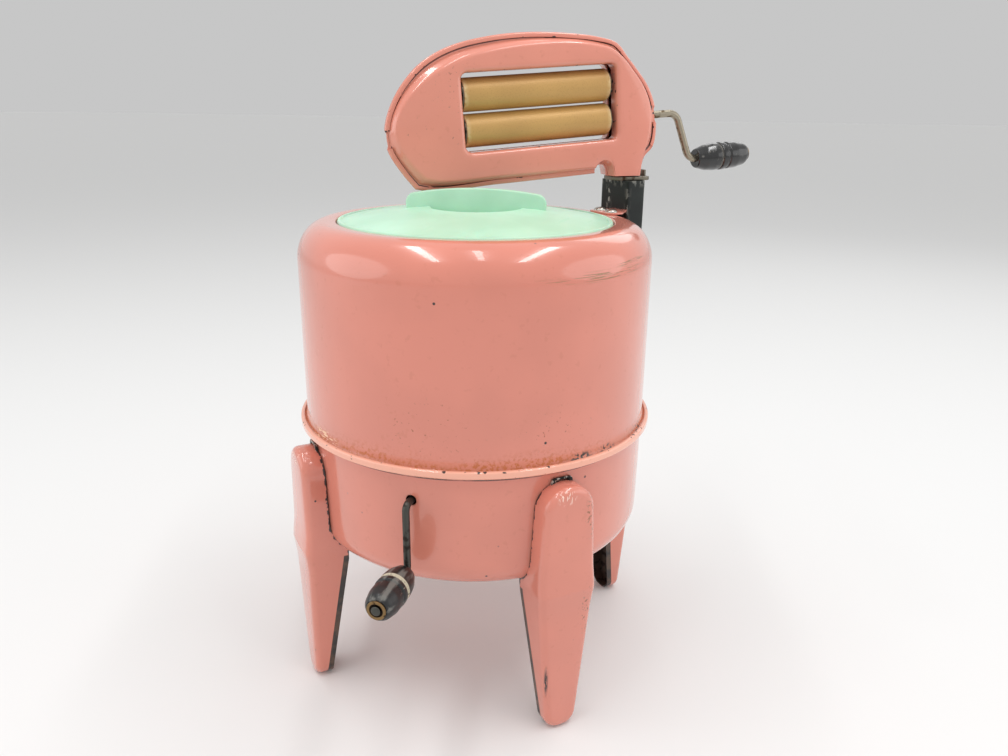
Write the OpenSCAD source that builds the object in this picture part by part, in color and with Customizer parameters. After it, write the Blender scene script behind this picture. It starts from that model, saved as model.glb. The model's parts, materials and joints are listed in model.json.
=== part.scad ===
// Toy wringer washing machine: an enamelled sheet-steel tub on four legs, with a lift-off lid,
// a crank-driven agitator and a swivelling two-roller wringer head.
// Units are millimetres, +Z is up. The origin is on the tub's axis, on the floor plane that the feet touch.
// The front of the tub, where its crank hangs, faces -Y.

/* [Sheet and fits] */
// Thickness of the pressed steel sheet
sheet = 0.8; // [0.6:0.1:1.2]
// Radial clearance of a pin that turns in a hole
running_gap = 0.08; // [0.04:0.01:0.1]
// Gap between loose pieces that sit in each other
seat_gap = 0.3; // [0.2:0.05:0.6]
// Diameter of the rivets' heads
rivet_head_d = 6; // [5:0.5:7]
// Diameter of the rivets' shanks
rivet_d = 2.4; // [2:0.2:3]

/* [Drum] */
// Outside radius of the drum
drum_r = 89; // [80:1:110]
// Height of the drum's flat top above the floor
drum_top_z = 238.3; // [220:0.1:290]
// Width of the rounded shoulder, measured inwards
shoulder_w = 14.5; // [10:0.5:16]
// Height of the rounded shoulder
shoulder_h = 17.9; // [10:0.1:22]

/* [Seam] */
// Height of the underside of the rolled seam
seam_z = 137; // [130:1:150]
// How far the rolled seam stands out from the drum
seam_out = 3.4; // [2.6:0.1:4.5]

/* [Bowl] */
// Depth of the bowl below the seam
bowl_h = 60; // [48:1:70]
// Radius of the bowl's lower corner
bowl_corner_r = 14; // [10:1:20]
// Taper of the bowl's wall over its height
bowl_taper = 0.6; // [0:0.1:2]
// Gap around the tub crank's shaft where it passes through the bowl
crank_hole_gap = 0.9; // [0.6:0.1:1.6]

/* [Legs] */
// How far a leg's front face stands out from the drum's wall
leg_out = 11.5; // [8:0.5:15]
// How far the foot's face lies inside the leg's upper face
leg_slope = 1.9; // [0:0.1:4]
// Gap between the top of a leg's arch and the seam
leg_top_gap = 6; // [5:0.5:12]
// Radius of a leg's arch
leg_arch_r = 12.5; // [10:0.5:14]
// Height of the knee, where a leg is widest, above the bowl's underside
leg_knee_rise = 1; // [-3:0.5:6]
// Width of a leg at its knee
leg_knee_w = 30.4; // [27:0.2:34]
// Radius of a leg's rounded foot
leg_foot_r = 8; // [6:0.5:10]
// Depth of a foot from front to back
leg_foot_depth = 9.7; // [6:0.1:14]
// Depth of a leg from front to back, at the flare under the bowl
leg_flare_depth = 21.5; // [17:0.5:25]
// Width of the steel strap that holds a leg to the bowl
strap_w = 13; // [8:1:16]
// Thickness of that strap
strap_t = 1.2; // [0.8:0.1:1.6]
// Length of that strap
strap_l = 37; // [24:1:40]
// How far the strap stands out above the leg's arch
strap_out = 2; // [1:0.5:4]

/* [Lid] */
// Width of the drum's flat ring between its shoulder and the lid's opening
top_ring_w = 4.9; // [4:0.1:12]
// Thickness of the lid's plastic
lid_wall = 2; // [1.6:0.1:2.4]
// Rise of the dome above the lid's rim
dome_h = 7; // [3:0.5:9]
// Width of the raised rim bead
rim_w = 1.8; // [1:0.1:3]
// Depth of the lid's seat below the drum's flat top
lid_seat_depth = 2.6; // [2:0.1:4]
// Width of the ledge that the lid rests on
ledge_w = 4; // [3:0.5:6]
// Depth of the locating skirt below the ledge's top
skirt_depth = 3.5; // [2:0.5:6]
// Width of the grip fin
fin_w = 71; // [50:1:80]
// Thickness of the grip fin
fin_t = 3.2; // [2.4:0.1:5]
// Height of the fin's top above the lid's rim, at its middle
fin_h = 15.4; // [12:0.1:15.4]
// Drop of the fin's top from its middle to its ends
fin_drop = 3.2; // [1:0.1:5]
// Corner radius of the fin's top
fin_corner_r = 5; // [2:0.5:6]
// Radius of the finger scoops beside the fin
scoop_r = 22.5; // [15:0.5:28]
// Depth of the finger scoops below the dome's middle
scoop_depth = 6; // [3:0.5:6.5]
// Direction of the fin, turned about the tub's axis
fin_turn = 13; // [12:0.1:20]

/* [Post] */
// Angle around the tub from the front to the post
post_turn = 140; // [135:1:145]
// Width of the post along the drum's wall
post_w = 24; // [18:0.5:28]
// Depth of the post, away from the drum's wall
post_d = 13; // [10:0.5:16]
// Thickness of the post's steel
post_wall = 1; // [0.8:0.1:1.4]
// Height of the post's foot above the seam's underside
post_foot_gap = 9; // [6:0.5:30]
// How far the post's top stands above the lid's fin
post_over_fin = 0.9; // [0.9:0.1:20]
// Width of the lapped fold on the post's inner face
lap_w = 16.4; // [8:0.2:18]
// Radius of the stud that the wringer head swivels on
stud_r = 2.5; // [2:0.1:3]
// Thickness of the steel pivot plate
pivot_plate_t = 2; // [1.2:0.1:3]

/* [Wringer head] */
// Direction in which the head points, around the post
head_turn = 218.2; // [214:0.1:219]
// Angle by which the head's nose hangs down
head_droop = 4.65; // [0:0.05:5]
// Height of the neck between the post's top and the head's belly
neck_h = 5.7; // [5.5:0.1:12]
// Distance from the swivel axis to the window's near edge
window_near_u = 11; // [9:0.2:14]
// Distance from the window's far edge to the head's nose
nose_l = 39.8; // [36:0.2:46]
// Distance from the window's near edge to the head's crank end
tail_l = 26.2; // [25:0.2:30]
// Height of the head above the rollers' centre plane
dome_v = 37; // [34:0.5:42]
// Depth of the head below the rollers' centre plane
belly_v = 36.3; // [34:0.1:42]
// Half of the head's thickness
head_half_t = 9.5; // [9.4:0.1:12]
// Distance from the rollers' plane to the back of the front shell's flange
flange_w = 3.9; // [2:0.1:5]
// Width of the hem that the rear shell folds over the front one
hem_w = 2.5; // [1.5:0.1:4]
// Gap above and below the wringer crank in the notch of the shells' edge
tail_notch_gap = 2.5; // [1:0.1:3]
// Distance from the rollers' plane to the edges of the window's inner walls
jamb_w = 2.3; // [2.3:0.1:4]

/* [Rollers] */
// Diameter of the rollers
roller_d = 16.6; // [13.8:0.1:20]
// Length of the rollers' sleeves
roller_l = 81.4; // [66:0.2:100]
// Gap between the rollers' ends and the window's sides, on average
roller_end_gap = 2.1; // [2:0.1:3]
// Gap between a roller and the window's upper or lower edge
roller_side_gap = 2; // [1:0.1:4]
// How far the rollers' middle lies from the window's middle, towards the nose
roller_shift = 0.9; // [0:0.1:1]
// Gap between the two rollers
nip = 0.8; // [0.3:0.1:1.2]
// Wall thickness of the rollers' sleeves
sleeve_t = 1.8; // [1:0.1:3]
// Thickness of the end plates that carry the rollers
bearing_t = 1.2; // [1:0.1:2]
// Length of a roller's end cap inside its sleeve
cap_l = 5; // [3:0.5:8]
// Radius of the upper roller's axle
axle_r = 2; // [1.6:0.1:2.4]

/* [Cranks and grips] */
// Radius of the wringer crank's wire
wringer_wire_r = 2; // [1.6:0.1:2.2]
// Throw of the wringer crank
wringer_throw = 26; // [20:1:30]
// Angle by which the wringer crank's arm leaves the shaft's line
wringer_bend = 72; // [60:1:90]
// Radius of the tub crank's wire
tub_wire_r = 1.7; // [1.4:0.1:2]
// Throw of the tub crank
tub_throw = 33; // [26:1:36]
// Gap between the seam and the tub crank's arm
tub_arm_gap = 0.7; // [0.5:0.1:4]
// Depth of the tub crank's shaft below the seam
crank_drop = 14; // [13:0.5:16]
// Centre-line radius of the wringer crank's bends
wringer_bend_r = 5; // [4:0.5:7]
// Centre-line radius of the tub crank's bends
tub_bend_r = 3; // [2.5:0.5:5]
// Length of the wringer crank's turned wooden grip
wringer_grip_l = 36; // [26:1:38]
// Length of the tub crank's turned wooden grip
tub_grip_l = 30; // [26:1:38]
// Largest diameter of a turned wooden grip
grip_d = 16; // [12:0.5:17]
// Thickness of the brass washer at a grip's end
washer_t = 0.8; // [0.6:0.1:1.2]

/* [Drive] */
// Teeth on the crown gear under the tub's floor
crown_teeth = 32; // [24:4:36]
// Teeth on the crank's pinion
pinion_teeth = 10; // [8:1:12]
// Tooth module of the two gears
gear_module = 1.5; // [1.2:0.1:1.5]
// Width of the pinion and of the crown gear's teeth
gear_face = 5; // [3:0.5:6]
// Radius of the agitator's shaft
shaft_r = 2; // [1.6:0.1:2.5]
// Thickness of the bracket that carries the gears
bracket_t = 1.2; // [1:0.1:1.6]
// Width of that bracket
bracket_w = 18; // [14:1:24]

/* [Agitator] */
// Radius of the agitator's skirt
agitator_r = 38; // [30:1:48]
// Height of the agitator
agitator_h = 63.8; // [50:0.2:80]
// Radius of the agitator's column at its top
column_r = 8; // [7:0.5:12]
// Number of the agitator's vanes
vanes = 4; // [3:1:6]
// Thickness of a vane
vane_t = 2.4; // [1.6:0.1:4]

/* [Hidden] */
$fn = 64;

enamel_pink = [0.91, 0.55, 0.48];
mint = [0.62, 0.88, 0.74];
steel = [0.62, 0.61, 0.57];
dark_steel = [0.24, 0.25, 0.24];
black_paint = [0.06, 0.07, 0.07];
tan_rubber = [0.72, 0.59, 0.36];
brass = [0.66, 0.53, 0.30];
far = 400;
weld = 0.4;
weld_step = 0.12;

// Seam: the bowl's flange, the floor's rim, the drum's flange and the bowl's rolled hem lie on each other
floor_z = seam_z + sheet;
drum_z = floor_z + sheet;
hem_z = drum_z + sheet;
seam_r = drum_r + seam_out;
face_gap = 0.1;
flange_r = seam_r - sheet - face_gap;
bowl_r = drum_r - face_gap;
bowl_z = seam_z - bowl_h;
hem_in_r = drum_r + 1.2;
crank_z = seam_z - crank_drop;
crank_hole_r = tub_wire_r + crank_hole_gap;

// Legs and their straps
leg_face_r = drum_r + leg_out;
leg_top_z = seam_z - leg_top_gap;
leg_knee_z = bowl_z + leg_knee_rise;
leg_foot_back_r = leg_face_r - leg_slope - leg_foot_depth;
leg_flare_r = leg_face_r - leg_flare_depth;
leg_turns = [-135:90:135];
strap_z = leg_top_z + strap_out - strap_l;
strap_slot_h = 20;

// Lid and its seat
opening_r = drum_r - shoulder_w - top_ring_w;
lid_r = opening_r - seat_gap * 2;
ledge_z = drum_top_z - lid_seat_depth;
ledge_r = opening_r - ledge_w;
lid_lift = 0.1;
rim_edge_h = 0.3;
rim_bead_h = 0.5;
rim_z = ledge_z + lid_lift + lid_wall + rim_edge_h;
dome_r = lid_r - rim_w;
skirt_r = ledge_r - seat_gap * 2;
skirt_w = 1.4;
scoop_floor_z = rim_z + dome_h - scoop_depth;
fin_top_z = rim_z + fin_h;
fin_root = 0.5;

// Post
post_in_r = drum_r + seat_gap;
post_out_r = post_in_r + post_d;
post_r = post_in_r + post_d / 2;
post_foot_z = seam_z + post_foot_gap;
post_top_z = fin_top_z + post_over_fin;
tab_hole_r = opening_r + 6.3;
tab_hole_turns = [4.2, 13];
tab_margin = 4.5;
post_cap_t = 1.5;
post_rivet_zs = [post_foot_z + 12, post_foot_z + 52];

// Wringer head
head_rise = belly_v + neck_h;
window_w = roller_l + 2 * roller_end_gap;
window_h = 2 * roller_d + nip + 2 * roller_side_gap;
window_u = window_near_u + window_w / 2;
nose_u = window_u + window_w / 2 + nose_l;
tail_u = tail_l - window_near_u;
head_z = post_top_z + head_rise;
head_x = post_r * sin(post_turn);
head_y = -post_r * cos(post_turn);
roller_v = (roller_d + nip) / 2;
jamb_gap = 1.5;
plate_back_w = 5;
plate_top_v = roller_v + 6.3;
roller_u = window_u + roller_shift;
wringer_bend_u = -tail_u - 11.8;
tail_notch_h = 2 * (wringer_wire_r + tail_notch_gap);
pin_out = 2.4;
grip_gap = 0.6;
neck_u = 5;
neck_half_w = 10.6;
neck_step = 0.1;
neck_top_v = belly_v - 6;
neck_over = 10;
hub_l = 0.9;
head_rays = 72;
face_slope_w = 3.4;
back_slope_w = 5.7;
ridge_w = 2;
dome_arc_r = 170;
dome_arc_u = 4.7;
nose_arc_r = 57;
nose_arc_out = 3;
nose_arc_v = -21.6;
nose_arc_end = 32;
tail_arc_r = 41;
tail_arc_v = -12.6;
tail_arc_start = 158;
nose_corner_turn = -31;
nose_corner_k = nose_u - window_u - 3.9;

// Gears
crown_r = gear_module * crown_teeth / 2;
pinion_r = gear_module * pinion_teeth / 2;
tooth_out = 0.8 * gear_module;
tooth_in = gear_module;
crown_under_z = crank_z + pinion_r + tooth_in;
crown_t = 1.6;
bracket_front_y = -(crown_r + gear_face / 2 + 7.5);
bracket_back_y = crown_r + gear_face / 2 + 2.5;
bracket_foot = 10;
bracket_z = crank_z - pinion_r - tooth_out - 4.5;
inner_ear_y = -(crown_r - gear_face / 2 - 5.5);
tub_arm_r = seam_r + tub_arm_gap + tub_wire_r;
bushing_r = 4;
bushing_low_z = crown_under_z + crown_t + 0.6;
bushing_top_z = floor_z + 10;

// Agitator
agitator_z = floor_z + sheet + 2.6;
agitator_top_z = agitator_z + agitator_h;
agitator_bore_z = agitator_top_z - 18;

// ---------------------------------------------------------------- helpers

// Points of an elliptical quarter from the side (angle 0) to the top (angle 90)
function quarter(cx, cz, a, b, steps) =
    [for (i = [0:steps]) [cx + a * cos(90 * i / steps), cz + b * sin(90 * i / steps)]];

// The same points in the other order
function backwards(list) = [for (i = [len(list) - 1:-1:0]) list[i]];

// Height of the lid's dome at distance r from its axis
function dome_z(r) = rim_z + dome_h * (1 - pow(r / dome_r, 2));

// A round bar along +X, from x = 0
module bar_x(r, l) {
    rotate([0, 90, 0]) cylinder(r = r, h = l);
}

// A round bar along -Y, from y = 0
module bar_front(r, l) {
    rotate([90, 0, 0]) cylinder(r = r, h = l);
}

// A quarter-like bend of round wire: it leaves the origin along +X and turns towards -Z by turn degrees
module wire_bend(r, bend, turn) {
    translate([0, 0, -bend])
        rotate([-90, 0, 0])
            rotate([0, 0, -90])
                rotate_extrude(angle = turn)
                    translate([bend, 0]) circle(r = r);
}

// Length of a crank's straight arm between its two bends
function arm_length(bend, throw, turn) = (throw - 2 * bend * (1 - cos(turn))) / sin(turn);

// Distance along the shaft's line from a crank's first bend to the start of its handle pin
function crank_reach(bend, throw, turn) =
    2 * bend * sin(turn) + arm_length(bend, throw, turn) * cos(turn);

// A crank of round wire: shaft along +X up to the origin, arm towards -Z, handle pin along +X again
module wire_crank(r, bend, shaft_l, throw, turn, pin_l) {
    arm_l = arm_length(bend, throw, turn);
    translate([-shaft_l, 0, 0]) bar_x(r, shaft_l + weld);
    wire_bend(r - weld_step, bend, turn);
    translate([bend * sin(turn), 0, -bend * (1 - cos(turn))])
        rotate([0, turn, 0]) {
            translate([-weld, 0, 0]) bar_x(r, arm_l + 2 * weld);
            translate([arm_l, 0, 0])
                mirror([0, 0, 1]) wire_bend(r - weld_step, bend, turn);
        }
    translate([crank_reach(bend, throw, turn) - weld, 0, -throw]) bar_x(r, pin_l + weld);
}

// A domed rivet along -Z from z = 0, with its head above
module rivet(shank_l) {
    intersection() {
        translate([0, 0, -rivet_head_d * 0.32]) sphere(d = rivet_head_d * 1.12);
        cylinder(d = rivet_head_d, h = rivet_head_d);
    }
    translate([0, 0, -shank_l]) cylinder(d = rivet_d, h = shank_l + 0.2);
    translate([0, 0, -shank_l - 0.8]) cylinder(d = rivet_d + 1.6, h = 0.8);
}

// Turns and moves its children from the post's own frame, where the post stands on -Y
module at_post() {
    rotate([0, 0, post_turn]) children();
}

// Moves its children from the head's frame: x runs to the nose, y towards the window's front, z up
module at_head() {
    translate([head_x, head_y, head_z]) rotate([0, head_droop, head_turn]) children();
}

// ---------------------------------------------------------------- tub

module upper_drum() {
    r_in = drum_r - sheet;
    top_r = drum_r - shoulder_w;
    base_z = drum_top_z - shoulder_h;
    outer = concat(
        [[r_in, drum_z], [flange_r, drum_z], [flange_r, hem_z], [drum_r, hem_z]],
        quarter(top_r, base_z, shoulder_w, shoulder_h, 12),
        [[opening_r, drum_top_z], [opening_r, ledge_z], [ledge_r, ledge_z], [ledge_r, ledge_z - sheet]],
        [[opening_r + sheet, ledge_z - sheet], [opening_r + sheet, drum_top_z - sheet]],
        backwards(quarter(top_r, base_z, shoulder_w - sheet, shoulder_h - sheet, 12))
    );
    color(enamel_pink)
        difference() {
            rotate_extrude($fn = 128) polygon(outer);
            at_post() post_rivet_holes();
        }
}

// Place of a rivet of the post's tab, at the given angle from the post
function tab_hole_x(turn) = -tab_hole_r * sin(turn);
function tab_hole_y(turn) = -tab_hole_r * cos(turn);

module post_rivet_holes() {
    for (turn = tab_hole_turns)
        translate([tab_hole_x(turn), tab_hole_y(turn), drum_top_z - 5]) cylinder(d = rivet_d, h = 10);
    for (z = post_rivet_zs)
        translate([0, -drum_r + 6, z]) bar_front(rivet_d / 2, 12);
}

// Outline of the bowl's outside, grown by g
function bowl_outside(g) = concat(
    [[0, bowl_z - g], [bowl_r - bowl_taper - bowl_corner_r, bowl_z - g]],
    backwards([for (p = quarter(0, 0, bowl_corner_r + g, bowl_corner_r + g, 10))
        [bowl_r - bowl_taper - bowl_corner_r + p[0], bowl_z + bowl_corner_r - p[1]]]),
    [[bowl_r + g, seam_z]]
);

module lower_bowl() {
    wall = concat(
        bowl_outside(0),
        [[seam_r, seam_z], [seam_r, hem_z + sheet], [hem_in_r, hem_z + sheet], [hem_in_r, hem_z]],
        [[seam_r - sheet, hem_z], [seam_r - sheet, floor_z], [bowl_r - sheet, floor_z]],
        backwards(bowl_outside(-sheet))
    );
    color(enamel_pink)
        difference() {
            rotate_extrude($fn = 128) polygon(wall);
            translate([0, -bowl_r + 8, crank_z]) bar_front(crank_hole_r, 16);
        }
}

module tub_floor() {
    color(steel)
        difference() {
            translate([0, 0, floor_z]) cylinder(r = flange_r, h = sheet, $fn = 128);
            translate([0, 0, floor_z - 1]) cylinder(r = bushing_r, h = 4);
            bracket_rivet_places() translate([0, 0, -4]) cylinder(d = rivet_d, h = 8);
        }
}

// ---------------------------------------------------------------- legs

// Points of an arc of radius r around (cx, cz), from angle a to angle b
function arc(cx, cz, r, a, b, steps) =
    [for (i = [0:steps]) let (t = a + (b - a) * i / steps) [cx + r * cos(t), cz + r * sin(t)]];

// Front view of a leg, drawn with x across and y up, shrunk by inset
module leg_outline(inset) {
    polygon(concat(
        [[leg_knee_w / 2 - inset, leg_knee_z]],
        arc(0, leg_top_z - leg_arch_r, leg_arch_r - inset, 0, 180, 16),
        [[-leg_knee_w / 2 + inset, leg_knee_z]],
        arc(0, leg_foot_r, leg_foot_r - inset, 180, 360, 12)
    ));
}

// Side view of a leg, drawn with x towards the tub's axis from it (negative outwards) and y up
module leg_side(face_inset, back_grow) {
    face = leg_face_r - face_inset;
    polygon([
        [-face + leg_slope, -1], [-face, leg_knee_z], [-face + 0.2, leg_top_z + 1],
        [-leg_flare_r - 1 + back_grow, leg_top_z + 1], [-leg_flare_r + back_grow, leg_knee_z - 6],
        [-leg_foot_back_r + back_grow, 5], [-leg_foot_back_r + back_grow, -1]
    ]);
}

module leg_solid(inset, back_grow) {
    intersection() {
        rotate([90, 0, 0]) linear_extrude(leg_face_r + 10) leg_outline(inset);
        rotate([90, 0, 90]) linear_extrude(60, center = true) leg_side(inset, back_grow);
    }
}

module leg(turn) {
    color(enamel_pink)
        rotate([0, 0, turn])
            difference() {
                leg_solid(0, 0);
                leg_solid(sheet, 12);
                rotate_extrude($fn = 128) polygon(concat(bowl_outside(0.2), [[0, seam_z]]));
                translate([-strap_w / 2 - 0.2, -bowl_r - strap_t - 0.4, leg_top_z - 8])
                    cube([strap_w + 0.4, strap_t + 1, strap_slot_h]);
            }
}

module leg_front_left() { leg(-45); }
module leg_front_right() { leg(45); }
module leg_rear_right() { leg(135); }
module leg_rear_left() { leg(-135); }

module leg_straps() {
    color(dark_steel)
        for (turn = leg_turns)
            rotate([0, 0, turn])
                translate([-strap_w / 2, -bowl_r - strap_t - face_gap, strap_z])
                    cube([strap_w, strap_t, strap_l]);
}

// ---------------------------------------------------------------- lid

module lid() {
    top = [for (i = [0:16]) [dome_r * i / 16, dome_z(dome_r * i / 16)]];
    under = [for (i = [15:-1:0]) [dome_r * i / 16, dome_z(dome_r * i / 16) - lid_wall]];
    shell = concat(
        top,
        [[dome_r, rim_z + rim_bead_h], [lid_r, rim_z + rim_edge_h]],
        [[lid_r, ledge_z + lid_lift], [skirt_r, ledge_z + lid_lift]],
        [[skirt_r, ledge_z - skirt_depth], [skirt_r - skirt_w, ledge_z - skirt_depth]],
        [[skirt_r - skirt_w, ledge_z + 0.6]],
        under
    );
    color(mint)
        rotate([0, 0, fin_turn]) {
            difference() {
                rotate_extrude($fn = 128) polygon(shell);
                translate([0, 0, scoop_floor_z - lid_wall]) cylinder(r = scoop_r, h = 20);
            }
            scoop_well();
            fin();
        }
}

// The cup that forms the two half-moon finger scoops beside the fin
module scoop_well() {
    well_r = scoop_r + lid_wall;
    difference() {
        translate([0, 0, scoop_floor_z - lid_wall])
            cylinder(r = well_r, h = dome_z(well_r) - scoop_floor_z + lid_wall - face_gap);
        translate([0, 0, scoop_floor_z]) cylinder(r = scoop_r, h = 20);
    }
}

module fin() {
    end_z = fin_top_z - fin_drop;
    low_z = dome_z(fin_w / 2) - lid_wall / 2;
    crown = [for (i = [0:16])
        let (s = i / 8 - 1)
        [s * (fin_w / 2 - fin_corner_r), fin_top_z - fin_drop * s * s]];
    rotate([90, 0, 0])
        linear_extrude(fin_t, center = true) {
            polygon(concat(
                crown,
                [[fin_w / 2 - fin_corner_r, end_z - fin_corner_r], [fin_w / 2, end_z - fin_corner_r]],
                [[fin_w / 2, low_z], [-fin_w / 2, low_z]],
                [[-fin_w / 2, end_z - fin_corner_r], [-fin_w / 2 + fin_corner_r, end_z - fin_corner_r]]
            ));
            for (s = [-1, 1])
                translate([s * (fin_w / 2 - fin_corner_r), end_z - fin_corner_r]) circle(r = fin_corner_r);
            translate([-scoop_r - fin_root, scoop_floor_z - fin_root])
                square([2 * (scoop_r + fin_root), low_z - scoop_floor_z + 4 * fin_root]);
        }
}

// ---------------------------------------------------------------- post

module post() {
    lap_x = post_w / 2 - lap_w;
    post_h = post_top_z - post_foot_z;
    color(black_paint)
        at_post()
            difference() {
                union() {
                    translate([-post_w / 2, -post_out_r, post_foot_z])
                        cube([post_w, post_d - post_wall, post_h]);
                    mirror([1, 0, 0])
                        translate([lap_x, -post_in_r - post_wall, post_foot_z])
                            cube([lap_w, post_wall, post_h]);
                    post_tab();
                }
                translate([-post_w / 2 + post_wall, -post_out_r + post_wall, post_foot_z - 1])
                    cube([post_w - 2 * post_wall, post_d - 3 * post_wall, post_h + 1 - post_cap_t]);
                translate([0, -post_r, post_top_z - 3]) cylinder(r = stud_r, h = 6);
                post_rivet_holes();
            }
}

// The tab that folds from the post's inner face onto the drum's flat top
module post_tab() {
    translate([0, 0, drum_top_z])
        linear_extrude(post_wall)
            polygon([
                [tab_hole_x(tab_hole_turns[0]) + tab_margin, -post_in_r - 0.5],
                [tab_hole_x(tab_hole_turns[0]) + tab_margin, tab_hole_y(tab_hole_turns[0]) + tab_margin],
                [tab_hole_x(tab_hole_turns[1]) - tab_margin, tab_hole_y(tab_hole_turns[1]) + tab_margin],
                [tab_hole_x(tab_hole_turns[1]) - tab_margin, tab_hole_y(tab_hole_turns[1]) - tab_margin],
                [-post_w / 2, -post_in_r - 0.5]
            ]);
}

module post_top_rivets() {
    color(steel)
        at_post()
            for (turn = tab_hole_turns)
                translate([tab_hole_x(turn), tab_hole_y(turn), drum_top_z + post_wall])
                    rivet(post_wall + sheet + 0.6);
}

module post_wall_rivets() {
    grip = post_in_r + 2 * post_wall - drum_r + sheet + 0.1;
    color(steel)
        at_post()
            for (z = post_rivet_zs)
                translate([0, -drum_r + sheet + 0.1, z]) rotate([-90, 0, 0]) rivet(grip);
}

module swivel_stud() {
    neck = pivot_plate_t + 0.4;
    color(steel)
        at_post()
            translate([0, -post_r, post_top_z]) {
                translate([0, 0, -1.5]) cylinder(r = stud_r, h = neck + 1.5);
                translate([0, 0, -3]) cylinder(r = stud_r + 1.6, h = 1.5);
                translate([0, 0, neck]) cylinder(r = stud_r + 2, h = 1.4);
            }
}

// ---------------------------------------------------------------- drive under the floor

module bracket_rivet_places() {
    for (x = [-bracket_w / 4, bracket_w / 4])
        for (y = [bracket_front_y - bracket_foot / 2, bracket_back_y + bracket_foot / 2])
            translate([x, y, floor_z]) children();
}

module gear_bracket() {
    ear_h = floor_z - bracket_z;
    color(steel)
        difference() {
            union() {
                translate([-bracket_w / 2, bracket_front_y, bracket_z])
                    cube([bracket_w, bracket_back_y - bracket_front_y, bracket_t]);
                for (y = [bracket_front_y, bracket_back_y - bracket_t])
                    translate([-bracket_w / 2, y, bracket_z]) cube([bracket_w, bracket_t, ear_h]);
                for (y = [bracket_front_y - bracket_foot, bracket_back_y - bracket_t])
                    translate([-bracket_w / 2, y, floor_z - bracket_t])
                        cube([bracket_w, bracket_foot + bracket_t, bracket_t]);
                translate([-bracket_w / 4, inner_ear_y - bracket_t / 2, bracket_z])
                    cube([bracket_w / 2, bracket_t, crank_z + tub_wire_r + 2.4 - bracket_z]);
            }
            translate([0, inner_ear_y + 5, crank_z]) bar_front(tub_wire_r + running_gap, 50);
            translate([0, 0, bracket_z - 1]) cylinder(r = shaft_r + running_gap, h = 4);
            bracket_rivet_places() translate([0, 0, -4]) cylinder(d = rivet_d, h = 8);
        }
}

module bracket_rivets() {
    color(steel)
        bracket_rivet_places() translate([0, 0, sheet]) rivet(sheet + bracket_t);
}

module shaft_bushing() {
    color(brass)
        difference() {
            union() {
                translate([0, 0, bushing_low_z]) cylinder(r = bushing_r, h = bushing_top_z - bushing_low_z);
                translate([0, 0, floor_z + sheet]) cylinder(r = bushing_r + 3, h = 1.2);
            }
            translate([0, 0, bushing_low_z - 1])
                cylinder(r = shaft_r + running_gap, h = bushing_top_z - bushing_low_z + 2);
        }
}

module agitator_shaft() {
    color(steel)
        translate([0, 0, bracket_z - 2]) cylinder(r = shaft_r, h = agitator_bore_z - bracket_z + 2);
}

module shaft_clip() {
    color(steel)
        translate([0, 0, bracket_z + bracket_t + 0.3])
            difference() {
                cylinder(r = shaft_r + 2, h = 0.8);
                translate([0, 0, -1]) cylinder(r = shaft_r, h = 3);
            }
}

module crown_gear() {
    pitch = 360 / crown_teeth;
    root_w = 2 * PI * crown_r / crown_teeth * 0.46;
    tip_w = root_w * 0.5;
    tooth_h = tooth_in + tooth_out;
    color(brass)
        difference() {
            union() {
                translate([0, 0, crown_under_z]) cylinder(r = crown_r + gear_face / 2, h = crown_t);
                translate([0, 0, crown_under_z - 5]) cylinder(r = shaft_r + 2, h = 5);
                for (i = [0:crown_teeth - 1])
                    rotate([0, 0, (i + 0.5) * pitch])
                        translate([0, -(crown_r - gear_face / 2), crown_under_z])
                            rotate([90, 0, 0])
                                linear_extrude(gear_face - 0.1)
                                    polygon([
                                        [-root_w / 2, 0.1], [root_w / 2, 0.1],
                                        [tip_w / 2, -tooth_h + 0.2], [-tip_w / 2, -tooth_h + 0.2]
                                    ]);
            }
            translate([0, 0, crown_under_z - 6]) cylinder(r = shaft_r, h = crown_t + 8);
        }
}

module crank_pinion() {
    tooth_w = 2 * PI * pinion_r / pinion_teeth * 0.4;
    root_r = pinion_r - tooth_in;
    tip_r = pinion_r + tooth_out;
    color(brass)
        translate([0, -(crown_r - gear_face / 2), crank_z])
            rotate([90, 0, 0])
                difference() {
                    union() {
                        cylinder(r = root_r, h = gear_face);
                        for (i = [0:pinion_teeth - 1])
                            rotate([0, 0, i * 360 / pinion_teeth])
                                linear_extrude(gear_face)
                                    polygon([
                                        [-tooth_w * 0.62, root_r - 0.6], [tooth_w * 0.62, root_r - 0.6],
                                        [tooth_w * 0.5, pinion_r], [tooth_w * 0.3, tip_r],
                                        [-tooth_w * 0.3, tip_r], [-tooth_w * 0.5, pinion_r]
                                    ]);
                    }
                    translate([0, 0, -1]) cylinder(r = tub_wire_r, h = gear_face + 2);
                }
}

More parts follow.
